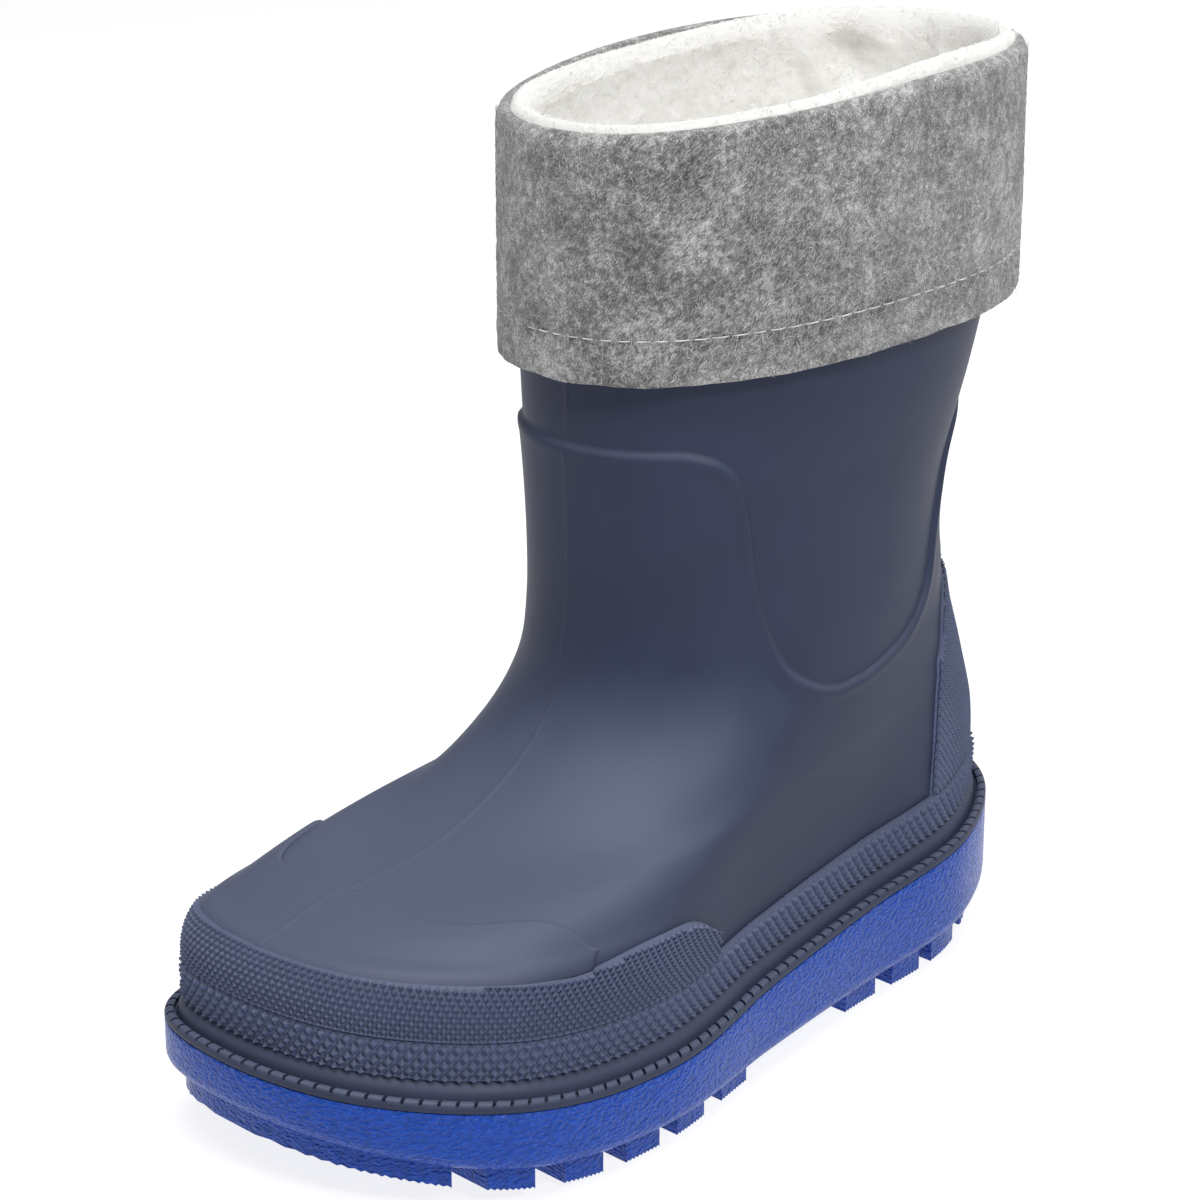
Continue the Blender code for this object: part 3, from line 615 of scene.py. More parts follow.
def layered(points, layers):
    """Sum of layers of lumps."""
    return sum(height * MM * lumps(points, size * MM, octaves) for height, size, octaves in layers)


def piece(name, points, faces, material, slot, *nodes):
    """A smooth closed piece on the boot's one body, which may stand for solids of the frame."""
    points = np.asarray(points, float).reshape(-1, 3) + (SHIFT, 0, 0)
    mesh = bpy.data.meshes.new(name)
    mesh.from_pydata(points.tolist(), [], faces)
    shell = bmesh.new()
    shell.from_mesh(mesh)
    bmesh.ops.recalc_face_normals(shell, faces=shell.faces)
    shell.to_mesh(mesh)
    shell.free()
    mesh.shade_smooth()
    mesh.set_sharp_from_angle(angle=SHARP_ANGLE)
    mesh.materials.append(material)
    thing = bpy.data.objects.new(name, mesh)
    bpy.context.scene.collection.objects.link(thing)
    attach(thing, "root")
    if nodes:
        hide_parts(*nodes)
    return thing


def band_faces(count, columns, closed):
    """Faces of a profile loop of points swept along columns, with its ends capped if open."""
    i = np.arange(count)[:, None]
    j = np.arange(columns if closed else columns - 1)[None, :]
    a, b = i * columns, (i + 1) % count * columns
    k = (j + 1) % columns
    quads = np.stack(np.broadcast_arrays(a + j, a + k, b + k, b + j), -1).reshape(-1, 4).tolist()
    if not closed:
        start = [row * columns for row in range(count)]
        quads += [start, [vertex + columns - 1 for vertex in start][::-1]]
    return quads


def capped_faces(count, columns):
    """Faces of rings swept from the underside up, with strips across the first and last ring."""
    faces = band_faces(count, columns, True)[: (count - 1) * columns]
    for start in (0, (count - 1) * columns):
        across = [(start + j, start + (columns - j) % columns) for j in range(columns // 2 + 1)]
        faces += [tuple(dict.fromkeys((a, c, d, b))) for (a, b), (c, d) in zip(across[:-1], across[1:])]
    return faces


def band(name, rings, material, slot, *nodes):
    """A piece from rings of points: a profile loop swept round the boot."""
    rings = np.asarray(rings)
    return piece(name, rings, band_faces(*rings.shape[:2], True), material, slot, *nodes)


def run_up(points):
    """Length run up each column of a grid of points."""
    steps = np.linalg.norm(np.diff(points, axis=0), axis=2)
    return np.vstack([np.zeros(points.shape[1]), np.cumsum(steps, axis=0)])


def make_upper(surface, material):
    """Moulded shell: raised foot panel with a soft bead, parting seam, and the ankle's soft folds."""
    turn = turns(UPPER_TURNS)
    for middle in SEAM_TURNS:
        turn = np.append(turn, middle + np.array(SEAM_STEPS) * SEAM_WIDTH / SHAFT_GIRTH)
    turn = np.unique(np.round(turn % 1.0, 6))
    edge = edge_row(PANEL_EDGE, turn)
    reach = PANEL_BLEND / surface.row_length(edge, turn)
    low, high = edge - reach, edge + reach
    rows = [low * share for share in np.linspace(0, 1, ROWS_BELOW, endpoint=False)]
    rows += [low + (high - low) * share for share in np.linspace(0, 1, ROWS_OVER_STEP, endpoint=False)]
    rows += [high + (LAST_ROW - high) * share for share in np.linspace(0, 1, ROWS_ABOVE)]
    rows = np.array(rows)
    across = np.broadcast_to(turn, rows.shape)
    girth = np.gradient(edge, turn) * surface.row_length(edge, turn) / SHAFT_GIRTH
    inside = (edge - rows) * surface.row_length(edge, turn) / np.sqrt(1 + girth ** 2)
    lift = PANEL_STEP * soft_step(inside / STEP_WIDTH + 0.5)
    lift += PANEL_BEAD * np.exp(-((inside - STEP_WIDTH) / STEP_WIDTH) ** 2)
    for middle in SEAM_TURNS:
        lift = lift + seam_lift(middle, across)
    for row, middle, half_rows, half_turn, depth in FOLDS:
        off = turn_from(middle, across)
        lift = lift - depth * MM * np.exp(-((rows - row) / half_rows) ** 2 - (off / half_turn) ** 2)
    outer = surface.at(rows, across, lift)
    down = np.linspace(LAST_ROW, 0, WALL_INNER_ROWS)
    inner = surface.at(down[:, None], turn[None, :], -WALL)
    return band("upper_shell", np.concatenate([outer, inner]), material, "navy_rubber", "upper")


def make_rand(surface, material):
    """Band round the foot with five staggered rows of large pyramids."""
    turn = np.linspace(0, 1, FINE_TURNS + 1)
    line = surface.at(RAND_MIDDLE_ROW, turn)
    run = run_along(line)
    bottom = surface.row_over_edge(turn, WELT_HEIGHT + 2 * GAP)
    top = surface.row_over_edge(turn, RAND_TOP)

    def locate(across, up):
        at = np.interp(across % run[-1], run, turn)
        share = np.clip(up, BORDER, RAND_HEIGHT - BORDER) / RAND_HEIGHT
        row = np.interp(at, turn, bottom) + share * np.interp(at, turn, top - bottom)
        return row, at, np.full(len(at), True)

    wide = run[-1] / round(run[-1] / RAND_PITCH)
    body = PANEL_STEP + GAP + RAND_THICK - RAND_RELIEF / 2
    share = np.array(RAND_PROFILE)[:, 0, None]
    lift = PANEL_STEP + (body - PANEL_STEP) * np.array(RAND_PROFILE)[:, 1, None]
    rows = bottom[:-1] + share * (top - bottom)[:-1]
    outer = surface.at(rows, turn[None, :-1], lift)
    inner = [surface.at(row[:-1], turn[:-1], PANEL_STEP + SEAT) for row in (top, bottom)]
    rings = np.array(list(outer) + inner)
    tall = RAND_HEIGHT / RAND_LINES
    lattice = pyramids(locate, surface, (run[-1], RAND_HEIGHT), wide, tall, body, RAND_RELIEF)
    points, faces = joined((rings, band_faces(*rings.shape[:2], True)), lattice)
    return piece("rand_band", points, faces, material, "navy_textured", "rand")


def chart(surface, middle, edge):
    """Lengths across and up a stretch of the foot panel, and the place that belongs to each."""
    last = edge[-1][0]
    turn = middle + last * np.linspace(-1, 1, CHART_COLUMNS)
    low = surface.row_over_edge(turn, RAND_TOP)
    high = max(row for _, row in edge)
    rows = low + np.linspace(0, 1, CHART_ROWS)[:, None] * (high - low)
    flat = surface.at(rows, turn[None, :], PANEL_STEP)
    lengths = run_up(flat)
    line = flat[len(flat) // 3]
    run = run_along(line)

    def locate(across, up):
        at = np.interp(across, run, turn)
        near = np.clip(np.round(np.interp(across, run, np.arange(len(run)))).astype(int), 0, len(run) - 1)
        row = np.array([np.interp(u, lengths[:, k], rows[:, k]) for u, k in zip(up, near)])
        border = BORDER / surface.row_length(row, at)
        top = edge_row(edge, at - middle) - border
        kept = (row < top) & (across > BORDER) & (across < run[-1] - BORDER) & (up < lengths[-1, near])
        return np.minimum(row, top), at, kept

    return locate, (run[-1], lengths[-1].max())


def overlay_grid(surface, middle, start, edge, rows, columns):
    """Rows and turns of an overlay between its lower and upper edge, and its lengths in metres."""
    last = edge[-1][0]
    turn = last * np.linspace(-1, 1, columns)
    high = edge_row(edge, turn)
    low = surface.row_over_edge(middle + turn, RAND_TOP + SEAT) if start is None else edge_row(start, turn)
    grid = low + np.linspace(0, 1, rows)[:, None] * (high - low)
    turn = np.broadcast_to(middle + turn, grid.shape)
    flat = surface.at(grid, turn, PANEL_STEP)
    up = run_up(flat)
    across = run_up(flat.transpose(1, 0, 2)).T
    across = across - across[:, columns // 2][:, None]
    return grid, turn, up, across


def overlay(surface, name, spec, material, slot, node, thick, rest=0.0, lattice=None):
    """A plate on the foot panel with rounded edges, and a lattice of a pitch and relief on it.

    Its upper edge starts higher by a rest where it lies on the cap.
    """
    grid, turn, up, across = overlay_grid(surface, *spec)
    ends = np.minimum(across - across[:, :1], across[:, -1:] - across)
    edge = np.minimum(up[-1] - up, ends)
    under = rest * soft_step((CAP_EDGE[-1][0] - np.abs(turn - spec[0])) / CAP_EDGE[1][0])
    lift = PANEL_STEP + SEAT + under + (GAP + thick - under) * rounded(edge, OVERLAY_SOFT)
    if lattice is None:
        lift = lift + seam_lift(SEAM_TURNS[1], turn)
    outer = surface.at(grid, turn, lift)
    picks = np.linspace(len(grid) - 1, 0, 4).astype(int)
    inner = [surface.at(grid[k], turn[k], PANEL_STEP) for k in picks]
    rings = np.array(list(outer) + inner)
    parts = [(rings, band_faces(*rings.shape[:2], False))]
    if lattice:
        pitch, relief = lattice
        locate, size = chart(surface, spec[0], spec[2])
        body = PANEL_STEP + SEAT + GAP + thick
        parts.append(pyramids(locate, surface, size, pitch, pitch * PYRAMID_ASPECT, body, relief))
    return piece(name, *joined(*parts), material, slot, node)


def make_welt(material):
    """Flange with a smooth lip, a row of notches, a groove and a bead under the rand."""
    outline = sole_ring(0, FINE_TURNS)
    girth = np.linalg.norm(np.roll(outline, -1, 0) - outline, axis=1).sum()
    cells = round(girth / NOTCH_PITCH)
    places = np.concatenate([cell + np.array(NOTCH_CELL) for cell in range(cells)]) / cells
    notch = np.tile(np.array(NOTCH_DEEP), cells)
    rings = []
    for inset, height, cut in WELT_FINE:
        run = even_ring(inset * WELT_WIDTH, places)
        top = level(run[:, 1], EDGE) + SEAT + height * WELT_HEIGHT
        rings.append(raised(run, top - notch * cut * NOTCH_DEPTH))
    return band("welt_flange", rings, material, "navy_rubber", "welt")


def even_ring(inset, places):
    """Ring inside the sole's outline with points at shares of its whole length."""
    ring = sole_ring(inset, FINE_TURNS)
    ring = np.vstack([ring, ring[:1]])
    return even(ring, places)


def lug_places(start, end):
    """Places along the sole for the ribs of a lug between two shares of the sole's length."""
    count = max(4, round((end - start) * SOLE_LENGTH / RIB_PITCH)) * 2
    return (0.5 - np.linspace(start, end, count + 1)) * SOLE_LENGTH


def side_at(half, y):
    """Place across of one side of an outline at places along it."""
    line = half[np.argsort(-half[:, 1])]
    return np.interp(-y, -line[:, 1], line[:, 0])


def lug(y, out, into, wave=0.0):
    """Points and faces of a lug between two sides, with fine cross ribs on its tread."""
    rib = np.arange(len(y))
    high = level(y, LOW) + LUG_ROOT
    low = level(y, TREAD) + RIB_DEPTH * (rib % 2)
    shift = np.sign(out - into) * wave * (rib // 2 % 2)
    out, into = out - shift, into + shift
    corners = [(out, high), (out, low), (into, low), (into, high)]
    rings = np.array([np.stack([x, y, z], 1) for x, z in corners])
    return rings.reshape(-1, 3), band_faces(4, len(y), False)


def make_outsole(material):
    """Blue sole: grained wall with rounded lower edge, and every lug joined to its underside."""
    rings = []
    for inset, share, rise in SOLE_FINE:
        plan = sole_ring(inset * MM, SOLE_TURNS)
        low, edge = level(plan[:, 1], LOW), level(plan[:, 1], EDGE)
        rings.append(raised(plan, low + share * (edge - low) + rise * MM))
    faces = capped_faces(len(rings), SOLE_TURNS)
    sole = piece("sole_body", rings, faces, material, "blue_rubber", "outsole")
    halves = sole_halves(LUG_INSET)
    blocks = []
    for places in SIDE_LUGS:
        y = lug_places(*places)
        for side in (side_at(half, y) for half in halves):
            blocks.append(lug(y, side, side * (1 - SIDE_LUG_REACH)))
    for along, half_length, half_width in MIDDLE_STUDS:
        reach = half_length / 2
        y = lug_places(along - reach, along + reach)
        off = np.abs(y - (0.5 - along) * SOLE_LENGTH) / (reach * SOLE_LENGTH)
        side = half_width * BALL_WIDTH * np.clip(1 + STUD_TIP - off, STUD_TIP, 1)
        blocks.append(lug(y, side, -side))
    for places in (HEEL_LUG, TOE_LUG):
        y = lug_places(*places)
        blocks.append(lug(y, *(side_at(half, y) for half in halves), END_WAVE))
    lugs = piece("lug_blocks", *joined(*blocks), material, "blue_rubber")
    union = sole.modifiers.new("lugs", "BOOLEAN")
    union.operation, union.solver, union.object = "UNION", "EXACT", lugs
    bpy.context.view_layer.objects.active = sole
    bpy.ops.object.modifier_apply(modifier="lugs")
    bpy.data.objects.remove(lugs)
    sole.data.shade_smooth()
    sole.data.set_sharp_from_angle(angle=SHARP_ANGLE)
    return sole


def cuff_levels(turn):
    """Rim and hem heights of the cuff at each turn."""
    drops = through(CUFF_DROPS, turn * len(CUFF_DROPS), closed=True)
    return (SHAFT_HEIGHT + CUFF_RISE - CUFF_DEPTH * drops).T


def cuff_rings(surface, turn, lines):
    """Rings round the shaft's top, each at a distance out from it and at given heights."""
    rings = []
    for out, heights in lines:
        points = surface.at(LAST_ROW, turn, out)
        points[:, 2] = heights
        rings.append(points)
    return np.array(rings)


def make_cuff(surface, material):
    """Felt cuff: a thick soft band that hangs over the shaft's top, with a sunk seam above its hem."""
    turn = turns(CUFF_TURNS)
    rim, hem = cuff_levels(turn)
    lines = []
    for share in np.linspace(0, 1, CUFF_ROWS):
        pucker = np.exp(-(share * CUFF_DEPTH / STITCH_RISE - 1) ** 2 * PUCKER_TIGHT)
        lines.append((FELT_OUT - HEM_PUCKER * pucker, hem + share * (rim - FELT_ROLL - hem)))
    lines += [(FELT_OUT - inset * MM, rim - drop * MM) for inset, drop in FELT_RIM]
    start, middle, end = rim - BACK_DROP, SHAFT_HEIGHT + GAP, hem + BACK_RISE
    for share in np.linspace(0.1, 1, BACK_ROWS):
        lines.append((GAP, start + share * (middle - start)))
    for share in np.linspace(0.15, 1, BACK_ROWS):
        lines.append((GAP, middle + share * (end - middle)))
    lines += [(GAP + inset * FELT_THICK, hem - drop * MM) for inset, drop in HEM_ROUND]
    rings = cuff_rings(surface, turn, lines)
    away = unit((rings - rings.mean(axis=(0, 1))) * (1, 1, 0))
    outer = np.zeros(len(rings))
    outer[: CUFF_ROWS + 2] = 1
    outer[-len(HEM_ROUND):] = HEM_LUMP_SHARE
    rings = rings + away * (layered(rings, FELT_LUMPS) * outer[:, None])[:, :, None]
    rings[:, :, 2] += layered(rings * (1, 1, 0), HEM_WAVES) * outer[:, None]
    return band("cuff_felt", rings, material, "grey_felt", "cuff")


def fleece_tops(turn, rim):
    """Distance out and heights of each line of the fleece's rolled rim."""
    rise = np.zeros(len(turn))
    for middle, half_turn, height in FLEECE_RISE:
        off = turn_from(middle, turn)
        rise += height * MM * np.exp(-(off / half_turn) ** 2)
    lowest = FLEECE_RIM[-1][1]
    lines = []
    for inset, drop in FLEECE_RIM:
        height = rim - drop * MM + rise * soft_step((lowest - drop) / RISE_FADE)
        lines.append((FELT_OUT - inset * MM, height))
    return lines


def fleece_out(share):
    """How far out the fleece lies at a share of the way from its rim into the shaft."""
    start = FELT_OUT - FLEECE_RIM[-1][0] * MM
    return start + soft_step(share) * (-LINING_DEPTH - start)


def make_lining(surface, material):
    """Fleece lining: rolls over the cuff's rim and runs down inside the boot to the insole."""
    turn = turns(LINING_TURNS)
    rim = cuff_levels(turn)[0]
    bottom = surface.row_over_edge(turn, INSOLE_THICK + 4 * GAP)
    lines = fleece_tops(turn, rim)
    for share in np.linspace(0.06, 1, COLLAR_ROWS):
        drop = share * (rim - SHAFT_HEIGHT) + (1 - share) * FLEECE_RIM[-1][1] * MM
        lines.append((fleece_out(share), rim - drop))
    down = np.linspace(0.03, 1, LINING_ROWS)[:, None] * (bottom - LAST_ROW) + LAST_ROW
    back = np.linspace(0, 1, LINING_BACK_ROWS)[:, None] * (LAST_ROW - bottom) + bottom
    top = SHAFT_HEIGHT + 2 * GAP
    rings = np.concatenate([
        cuff_rings(surface, turn, lines),
        surface.at(down, turn[None, :], -LINING_DEPTH),
        surface.at(back, turn[None, :], -WALL - GAP / 2),
        cuff_rings(surface, turn, [(-WALL - GAP, top), (-GAP / 2, top)]),
    ])
    inner = np.ones(len(rings))
    inner[-LINING_BACK_ROWS - 2:] = 0
    away = unit((rings - rings.mean(axis=1)[:, None, :]) * (1, 1, 0.2))
    soft = layered(rings, FLEECE_LUMPS)
    below = rim - rings[:, :, 2]
    for middle, half_turn, down, half_down, push in INNER_FOLDS:
        off = turn_from(middle, turn)
        far = (below - down * MM) / (half_down * MM)
        soft -= push * MM * np.exp(-(off / half_turn) ** 2 - far ** 2)
    rings = rings + away * (soft * inner[:, None])[:, :, None]
    return band("fleece_lining", rings, material, "pale_fleece")


def make_insole(material):
    """Footbed with rounded edge and a slight dish."""
    rings = []
    for inset, share in INSOLE_ROUND:
        plan = sole_ring(FOOT_INSET + WALL + INSOLE_CLEARANCE + inset * MM, INSOLE_TURNS)
        seat = level(plan[:, 1], EDGE) + GAP
        rings.append(raised(plan, seat + share * INSOLE_THICK))
    faces = capped_faces(len(rings), INSOLE_TURNS)
    return piece("insole_bed", rings, faces, material, "pale_fleece", "insole")


def make_stitches(surface, material):
    """Row of short thread stitches above the cuff's hem."""
    fine = turns(FINE_TURNS)
    hem = cuff_levels(fine)[1]
    place = (FELT_OUT - HEM_PUCKER * THREAD_SINK, hem + STITCH_RISE)
    line = cuff_rings(surface, fine, [place])[0]
    line = np.vstack([line, line[:1]])
    count, rings = round(run_along(line)[-1] / STITCH_PITCH), len(STITCH_RISES)
    shares = (np.arange(count)[:, None] + np.linspace(*STITCH_SHARES, rings)) / count
    spine = even(line, shares.ravel()).reshape(count, rings, 3)
    away = unit((spine - line.mean(0)) * (1, 1, 0))
    spine = spine + away * (np.array(STITCH_RISES) * MM)[:, None]
    angle = turns(STITCH_SIDES)[:, None] * math.tau
    round_it = away[:, :, None] * np.cos(angle) + np.array([0, 0, 1]) * np.sin(angle)
    points = spine[:, :, None] + THREAD * round_it
    size = rings * STITCH_SIDES
    pattern = band_faces(rings, STITCH_SIDES, True)[: size - STITCH_SIDES]
    pattern += [range(STITCH_SIDES)[::-1], range(size - STITCH_SIDES, size)]
    return piece("hem_stitches", points, repeated(pattern, size, count), material, "grey_felt")


def fibres(name, places, outward, count, length, width, lie, seed, material, slot):
    """Short tapered fibres scattered on a grid of surface points, lying over by a share."""
    draw = np.random.default_rng(seed)
    rows, columns = places.shape[:2]
    i, j = draw.integers(0, rows - 1, count), draw.integers(0, columns, count)
    a, b = draw.random((2, count, 1))
    k = (j + 1) % columns
    low = (1 - b) * places[i, j] + b * places[i, k]
    root = (1 - a) * low + a * ((1 - b) * places[i + 1, j] + b * places[i + 1, k])
    up = outward[i, j]
    lie = lie - FIBRE_STAND * draw.random((count, 1)) ** 4
    drift = draw.normal(size=(count, 3)) + np.array(FIBRE_DRIFT)
    side = unit(drift - (drift * up).sum(1)[:, None] * up)
    long = length * draw.uniform(*FIBRE_LENGTHS, (count, 1))
    bend = draw.uniform(*FIBRE_BENDS, (count, 1))
    mid = root + long * 0.5 * (side * lie + up * (1 - lie) * bend)
    across = np.cross(side, up)
    tip = root + long * (side * lie + up * (1 - lie) * (1 - 0.6 * bend))
    tip = tip + across * long * draw.normal(0, FIBRE_CURL, (count, 1))
    root = root - up * FIBRE_ROOT
    corners = []
    for centre, scale in ((root, 1.0), (mid, 0.8)):
        for angle in (0, 2 * math.pi / 3, 4 * math.pi / 3):
            corners.append(centre + width * scale * (across * math.cos(angle) + up * math.sin(angle)))
    points = np.stack(corners + [tip], 1)
    pattern = [(0, 2, 1), (0, 1, 4, 3), (1, 2, 5, 4), (2, 0, 3, 5), (3, 4, 6), (4, 5, 6), (5, 3, 6)]
    return piece(name, points, repeated(pattern, 7, count), material, slot)


class Nodes:
    """Short way to write a material's node tree."""

    def __init__(self, name):
        self.material = bpy.data.materials.new(name)
        self.material.use_nodes = True
        self.tree = self.material.node_tree
        self.shader = self.tree.nodes["Principled BSDF"]
        self.place = self.add("ShaderNodeTexCoord").outputs["Object"]

    def add(self, kind, inputs=None, **values):
        """A node with its settings, and with a link or a value for each input."""
        node = self.tree.nodes.new(kind)
        for key, value in values.items():
            setattr(node, key, value)
        for key, value in (inputs or {}).items():
            socket = node.inputs[key]
            if isinstance(value, bpy.types.NodeSocket):
                self.tree.links.new(value, socket)
            else:
                socket.default_value = value
        return node

    def stretched(self, scale, turn=(0, 0, 0)):
        """The place on the boot, stretched and turned."""
        inputs = {"Vector": self.place, "Scale": scale, "Rotation": turn}
        return self.add("ShaderNodeMapping", inputs, vector_type="TEXTURE").outputs[0]

    def noise(self, size, detail, vector=None, rough=0.55):
        inputs = {"Vector": vector or self.place, "Scale": 1 / size, "Detail": detail, "Roughness": rough}
        return self.add("ShaderNodeTexNoise", inputs).outputs["Fac"]

    def ramp(self, value, *stops):
        """A colour for a value, from stops of a value and a colour."""
        node = self.add("ShaderNodeValToRGB", {"Fac": value})
        ends = node.color_ramp.elements
        for at, colour in stops[2:]:
            ends.new(at)
        for end, (at, colour) in zip(ends, sorted(stops)):
            end.position, end.color = at, (*colour, 1)
        return node.outputs["Color"]

    def mix(self, factor, one, two):
        """A colour mixed with a fixed one by a factor."""
        inputs = {0: factor, 6: one, 7: (*two, 1)}
        return self.add("ShaderNodeMix", inputs, data_type="RGBA").outputs[2]

    def between(self, value, low, high):
        """A value from 0 to 1 moved to the range from low to high, and held within it."""
        inputs = {"Value": value, "To Min": low, "To Max": high}
        return self.add("ShaderNodeMapRange", inputs).outputs["Result"]

    def upward(self):
        """How much a surface faces up, from -1 to 1."""
        normal = self.add("ShaderNodeNewGeometry").outputs["Normal"]
        return self.add("ShaderNodeSeparateXYZ", {0: normal}).outputs["Z"]

    def warped(self, vector, size, reach):
        """A place pushed about by noise."""
        push = self.sum(0.0, self.noise(size, 2.0), reach)
        return self.add("ShaderNodeVectorMath", {0: vector, 1: push}, operation="ADD").outputs[0]

    def sum(self, one, two, share):
        """One value plus a share of another."""
        inputs = {0: two, 1: share, 2: one}
        return self.add("ShaderNodeMath", inputs, operation="MULTIPLY_ADD").outputs[0]

    def bump(self, height, depth, strength):
        inputs = {"Height": height, "Distance": depth, "Strength": strength}
        return self.add("ShaderNodeBump", inputs).outputs["Normal"]

    def finish(self, colour, roughness, normal, **fixed):
        """Link the shader's inputs and give back the material."""
        self.tree.links.new(colour, self.shader.inputs["Base Color"])
        self.tree.links.new(roughness, self.shader.inputs["Roughness"])
        self.tree.links.new(normal, self.shader.inputs["Normal"])
        return self.fix(**fixed)

    def fix(self, **fixed):
        """Give the shader fixed values."""
        for key, value in fixed.items():
            self.shader.inputs[key.replace("_", " ")].default_value = value
        return self.material


def tones(colour, *gains):
    """A colour made darker or lighter by each gain."""
    return [tuple(gain * channel for channel in colour) for gain in gains]


def navy_rubber(name, roughness, grain, tone, facing_up, valleys=False):
    """Satin navy rubber: faint mottling, fine moulded grain, small pale specks, painted light on what faces
    up, and if asked painted shade where the relief closes in.
    """
    n = Nodes(name)
    dark, plain = tones(NAVY, 0.88 * tone, 1.04 * tone)
    cloud = n.noise(NAVY_CLOUD, 3.0)
    fine = n.noise(NAVY_FINE, 2.0)
    colour = n.ramp(cloud, (0.3, dark), (0.7, plain))
    low, high = facing_up
    # Painted light: the colour turns paler the more a face looks up
    painted_top_light = n.ramp(n.sum(n.upward(), cloud, 0.25), (low, BLACK), (high, WHITE))
    specks = n.ramp(n.noise(NAVY_SPECKS, 4.0, rough=0.7), (0.70, BLACK), (0.80, WHITE))
    colour = n.mix(n.sum(n.sum(0.0, painted_top_light, 0.85), specks, 0.12), colour, TOP_LIGHT_AND_SPECK_TONE)
    if valleys:
        # Painted shade: darker where the relief's own faces close in round a point, between its pyramids
        near = n.add("ShaderNodeAmbientOcclusion", {"Distance": VALLEY_SHADE_REACH}, samples=8, only_local=True)
        valley_shade_mask = n.ramp(near.outputs["AO"], (0.40, WHITE), (0.85, BLACK))
        colour = n.mix(valley_shade_mask, colour, tones(NAVY, 0.35)[0])
    rough = n.between(n.sum(cloud, fine, 0.4), roughness - 0.06, roughness + 0.07)
    normal = n.bump(n.sum(fine, n.noise(NAVY_WAVE, 2.0), 2.0), grain, 0.5)
    return n.finish(colour, rough, normal, Specular_IOR_Level=0.17)


def blue_rubber():
    """Blue sole rubber with a moulded leather grain, its wrinkles longer along the sole."""
    n = Nodes("blue_sole_rubber")
    dark, plain, bright = tones(BLUE, 0.74, 0.98, 1.10)
    place = n.warped(n.stretched(BLUE_STRETCH), 1.3 * MM, 1.0 * MM)
    cells = n.add("ShaderNodeTexVoronoi", {"Vector": place, "Scale": 1 / BLUE_CELL}, feature="SMOOTH_F1")
    crown = n.sum(1.0, cells.outputs["Distance"], -1.0)
    grain = n.sum(crown, n.noise(BLUE_FINE, 2.0), 0.30)
    colour = n.ramp(grain, (0.55, dark), (0.80, plain), (1.0, bright))
    rough = n.between(grain, 0.42, 0.20)
    return n.finish(colour, rough, n.bump(grain, BLUE_DEPTH, 1.0), Specular_IOR_Level=0.24)


def grey_felt():
    """Mottled grey wool felt: light and dark fibres in soft clumps, most of them leaning one way."""
    n = Nodes("grey_wool_felt")
    clouds = n.noise(FELT_CLOUD, 2.0)
    clumps = n.noise(FELT_CLUMP, 3.0, rough=0.6)
    lean = n.warped(n.stretched(FELT_STRETCH, FELT_LEAN), 2.2 * MM, 0.9 * MM)
    strands = n.noise(FELT_STRAND, 4.0, lean, 0.72)
    cross = n.noise(FELT_CROSS, 4.0, n.stretched(CROSS_STRETCH, CROSS_LEAN), 0.72)
    tone = 0.0
    for layer, share in ((clouds, 0.15), (clumps, 0.225), (strands, 0.375), (cross, 0.25)):
        tone = n.sum(tone, layer, share)
    colour = n.ramp(tone, *zip(FELT_STOPS, FELT_TONES))
    normal = n.bump(n.sum(strands, cross, 0.7), FELT_DEPTH, 0.9)
    return n.finish(colour, n.between(strands, 0.9, 1.0), normal,
                    Specular_IOR_Level=0.1, Sheen_Weight=0.35, Sheen_Roughness=0.6)


def pale_fleece(name, depth):
    """Off-white fleece: short matted pile with soft shadows between its tufts, and painted shade on what
    faces up.
    """
    n = Nodes(name)
    pile = n.noise(FLEECE_PILE, 5.0, rough=0.7)
    tufts = n.noise(FLEECE_TUFT, 3.0)
    colour = n.ramp(n.sum(pile, tufts, 0.5), (0.55, FLEECE_TONES[0]), (0.80, FLEECE_TONES[1]))
    # Painted shade: the fleece turns darker the more it faces up
    colour = n.mix(n.ramp(n.upward(), (0.05, BLACK), (0.8, WHITE)), colour, FLEECE_TOP_SHADE)
    normal = n.bump(n.sum(pile, tufts, 0.4), depth, 0.5)
    return n.finish(colour, n.between(pile, 0.92, 1.0), normal,
                    Specular_IOR_Level=0.1, Sheen_Weight=0.3, Sheen_Roughness=0.7)


def thread_grey():
    """Light grey sewing thread."""
    n = Nodes("light_thread")
    colour = n.ramp(n.noise(2 * MM, 2.0), *zip((0.3, 0.7), THREAD_TONES))
    twist = n.noise(0.2 * MM, 2.0)
    normal = n.bump(twist, 0.05 * MM, 0.5)
    return n.finish(colour, n.between(twist, 0.6, 0.8), normal, Specular_IOR_Level=0.3)


def fibre_material(name, shades):
    """Single wool or pile fibres, each a little lighter or darker."""
    n = Nodes(name)
    colour = n.ramp(n.noise(0.9 * MM, 3.0, rough=0.8), *zip((0.32, 0.68), shades))
    fine = n.noise(0.3 * MM, 1.0)
    normal = n.bump(fine, 0.02 * MM, 0.3)
    return n.finish(colour, n.between(fine, 0.8, 0.95), normal, Specular_IOR_Level=0.2)


def placed(name, data, aim, azimuth, elevation, distance):
    """A light or a camera at a distance from a place, looking at it."""
    flat = math.cos(elevation)
    way = Vector((math.sin(azimuth) * flat, -math.cos(azimuth) * flat, math.sin(elevation)))
    thing = bpy.data.objects.new(name, data)
    thing.location = Vector(aim) + way * distance
    thing.rotation_euler = way.to_track_quat("Z", "Y").to_euler()
    bpy.context.scene.collection.objects.link(thing)
    return thing


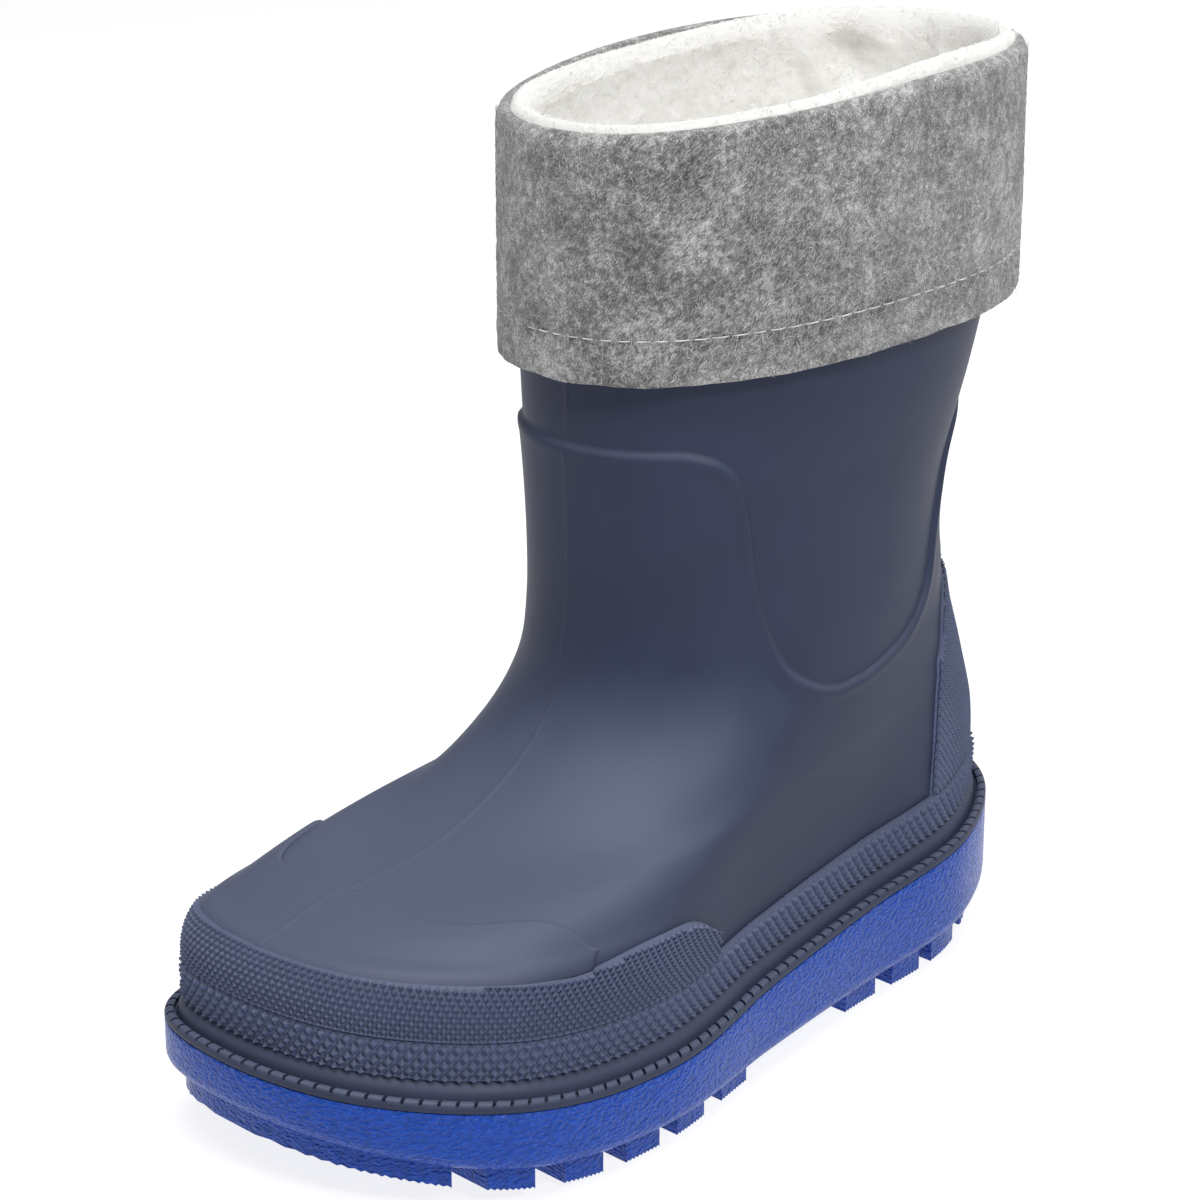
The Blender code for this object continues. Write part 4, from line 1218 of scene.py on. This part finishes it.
def make_studio():
    """Pale floor, white surround, soft boxes and the photograph's camera."""
    scene = bpy.context.scene
    bpy.ops.mesh.primitive_plane_add(size=FLOOR_SIZE)
    floor = bpy.context.object
    floor.name = "studio_floor"
    white, tone = (*WHITE, 1), (FLOOR_TONE, FLOOR_TONE, FLOOR_TONE, 1)
    floor.data.materials.append(Nodes("pale_floor").fix(
        Base_Color=tone, Roughness=0.9, Specular_IOR_Level=0.1,
        Emission_Color=white, Emission_Strength=FLOOR_GLOW))
    world = bpy.data.worlds.new("white_studio")
    world.use_nodes = True
    sky = world.node_tree.nodes["Background"].inputs
    sky["Color"].default_value, sky["Strength"].default_value = white, SURROUND
    scene.world = world
    for name, power, size, azimuth, elevation, distance in LIGHTS:
        lamp = bpy.data.lights.new(name, "AREA")
        lamp.energy, lamp.size = power, size
        placed(name, lamp, LIGHT_AIM, math.radians(azimuth), math.radians(elevation), distance)
    scene.view_settings.view_transform = "Standard"
    lens = bpy.data.cameras.new("photo_camera")
    lens.lens, lens.sensor_width, lens.sensor_height, lens.clip_start = LENS_MM, 36, 36, 0.01
    aim = Vector(CAMERA_AIM) + Vector((SHIFT, 0, 0))
    scene.camera = placed("photo_camera", lens, aim, CAMERA_AZIMUTH, CAMERA_ELEVATION, CAMERA_DISTANCE)


def grid_normals(points):
    """Outward direction at each point of a closed ring grid, away from its own middle line."""
    normal = crossed(points)
    away = points - points.mean(axis=1)[:, None, :]
    side = np.sign((normal * away * (1, 1, 0)).sum(axis=2).mean())
    return normal * side


def make_fuzz(surface, felt_fibre, fleece_fibre):
    """Loose wool on the felt's face and rim, and pile on the fleece."""
    turn = turns(CUFF_TURNS)
    rim, hem = cuff_levels(turn)
    shares = np.linspace(0.0, 0.99, FACE_ROWS)
    lines = [(FELT_OUT, hem + share * (rim - FELT_ROLL - hem)) for share in shares]
    inset, drop = FELT_RIM[0]
    lines.append((FELT_OUT - inset * MM, rim - drop * MM))
    face = cuff_rings(surface, turn, lines)
    fibres("felt_fuzz", face, grid_normals(face), *FELT_FUZZ, felt_fibre, "grey_felt")
    lines = fleece_tops(turn, rim)
    for share in np.linspace(0, 1, PILE_ROWS):
        lines.append((fleece_out(share), rim - (FLEECE_RIM[-1][1] + PILE_DEPTH * share) * MM))
    pile = cuff_rings(surface, turn, lines)
    inward = -grid_normals(pile)
    inward[: len(FLEECE_RIM)] = (0, 0, 1)
    fibres("fleece_pile", pile, inward, *FLEECE_FUZZ, fleece_fibre, "pale_fleece")


def main():
    """Build the materials, the studio and every piece."""
    surface = Surface()
    navy = navy_rubber("navy_shell_rubber", *SHELL_RUBBER)
    textured = navy_rubber("navy_relief_rubber", *RELIEF_RUBBER, True)
    blue = blue_rubber()
    felt = grey_felt()
    make_studio()
    make_upper(surface, navy)
    make_rand(surface, textured)
    overlay(surface, "toe_bumper_plate", BUMPER_SPEC, textured, "navy_textured", "toe_bumper",
            BUMPER_THICK - BUMPER_RELIEF / 2, GAP + CAP_THICK, (BUMPER_PITCH, BUMPER_RELIEF))
    overlay(surface, "toe_cap_plate", CAP_SPEC, navy, "navy_rubber", "toe_cap", CAP_THICK)
    overlay(surface, "heel_counter_plate", COUNTER_SPEC, textured, "navy_textured", "heel_counter",
            COUNTER_THICK - COUNTER_RELIEF / 2, 0.0, (COUNTER_PITCH, COUNTER_RELIEF))
    make_welt(navy)
    make_outsole(blue)
    make_cuff(surface, felt)
    make_lining(surface, pale_fleece("white_fleece", 0.5 * MM))
    make_insole(pale_fleece("insole_fleece", 0.3 * MM))
    make_stitches(surface, thread_grey())
    wool, fibre = fibre_material("loose_wool", WOOL_TONES), fibre_material("fleece_fibre", PILE_TONES)
    make_fuzz(surface, wool, fibre)


main()
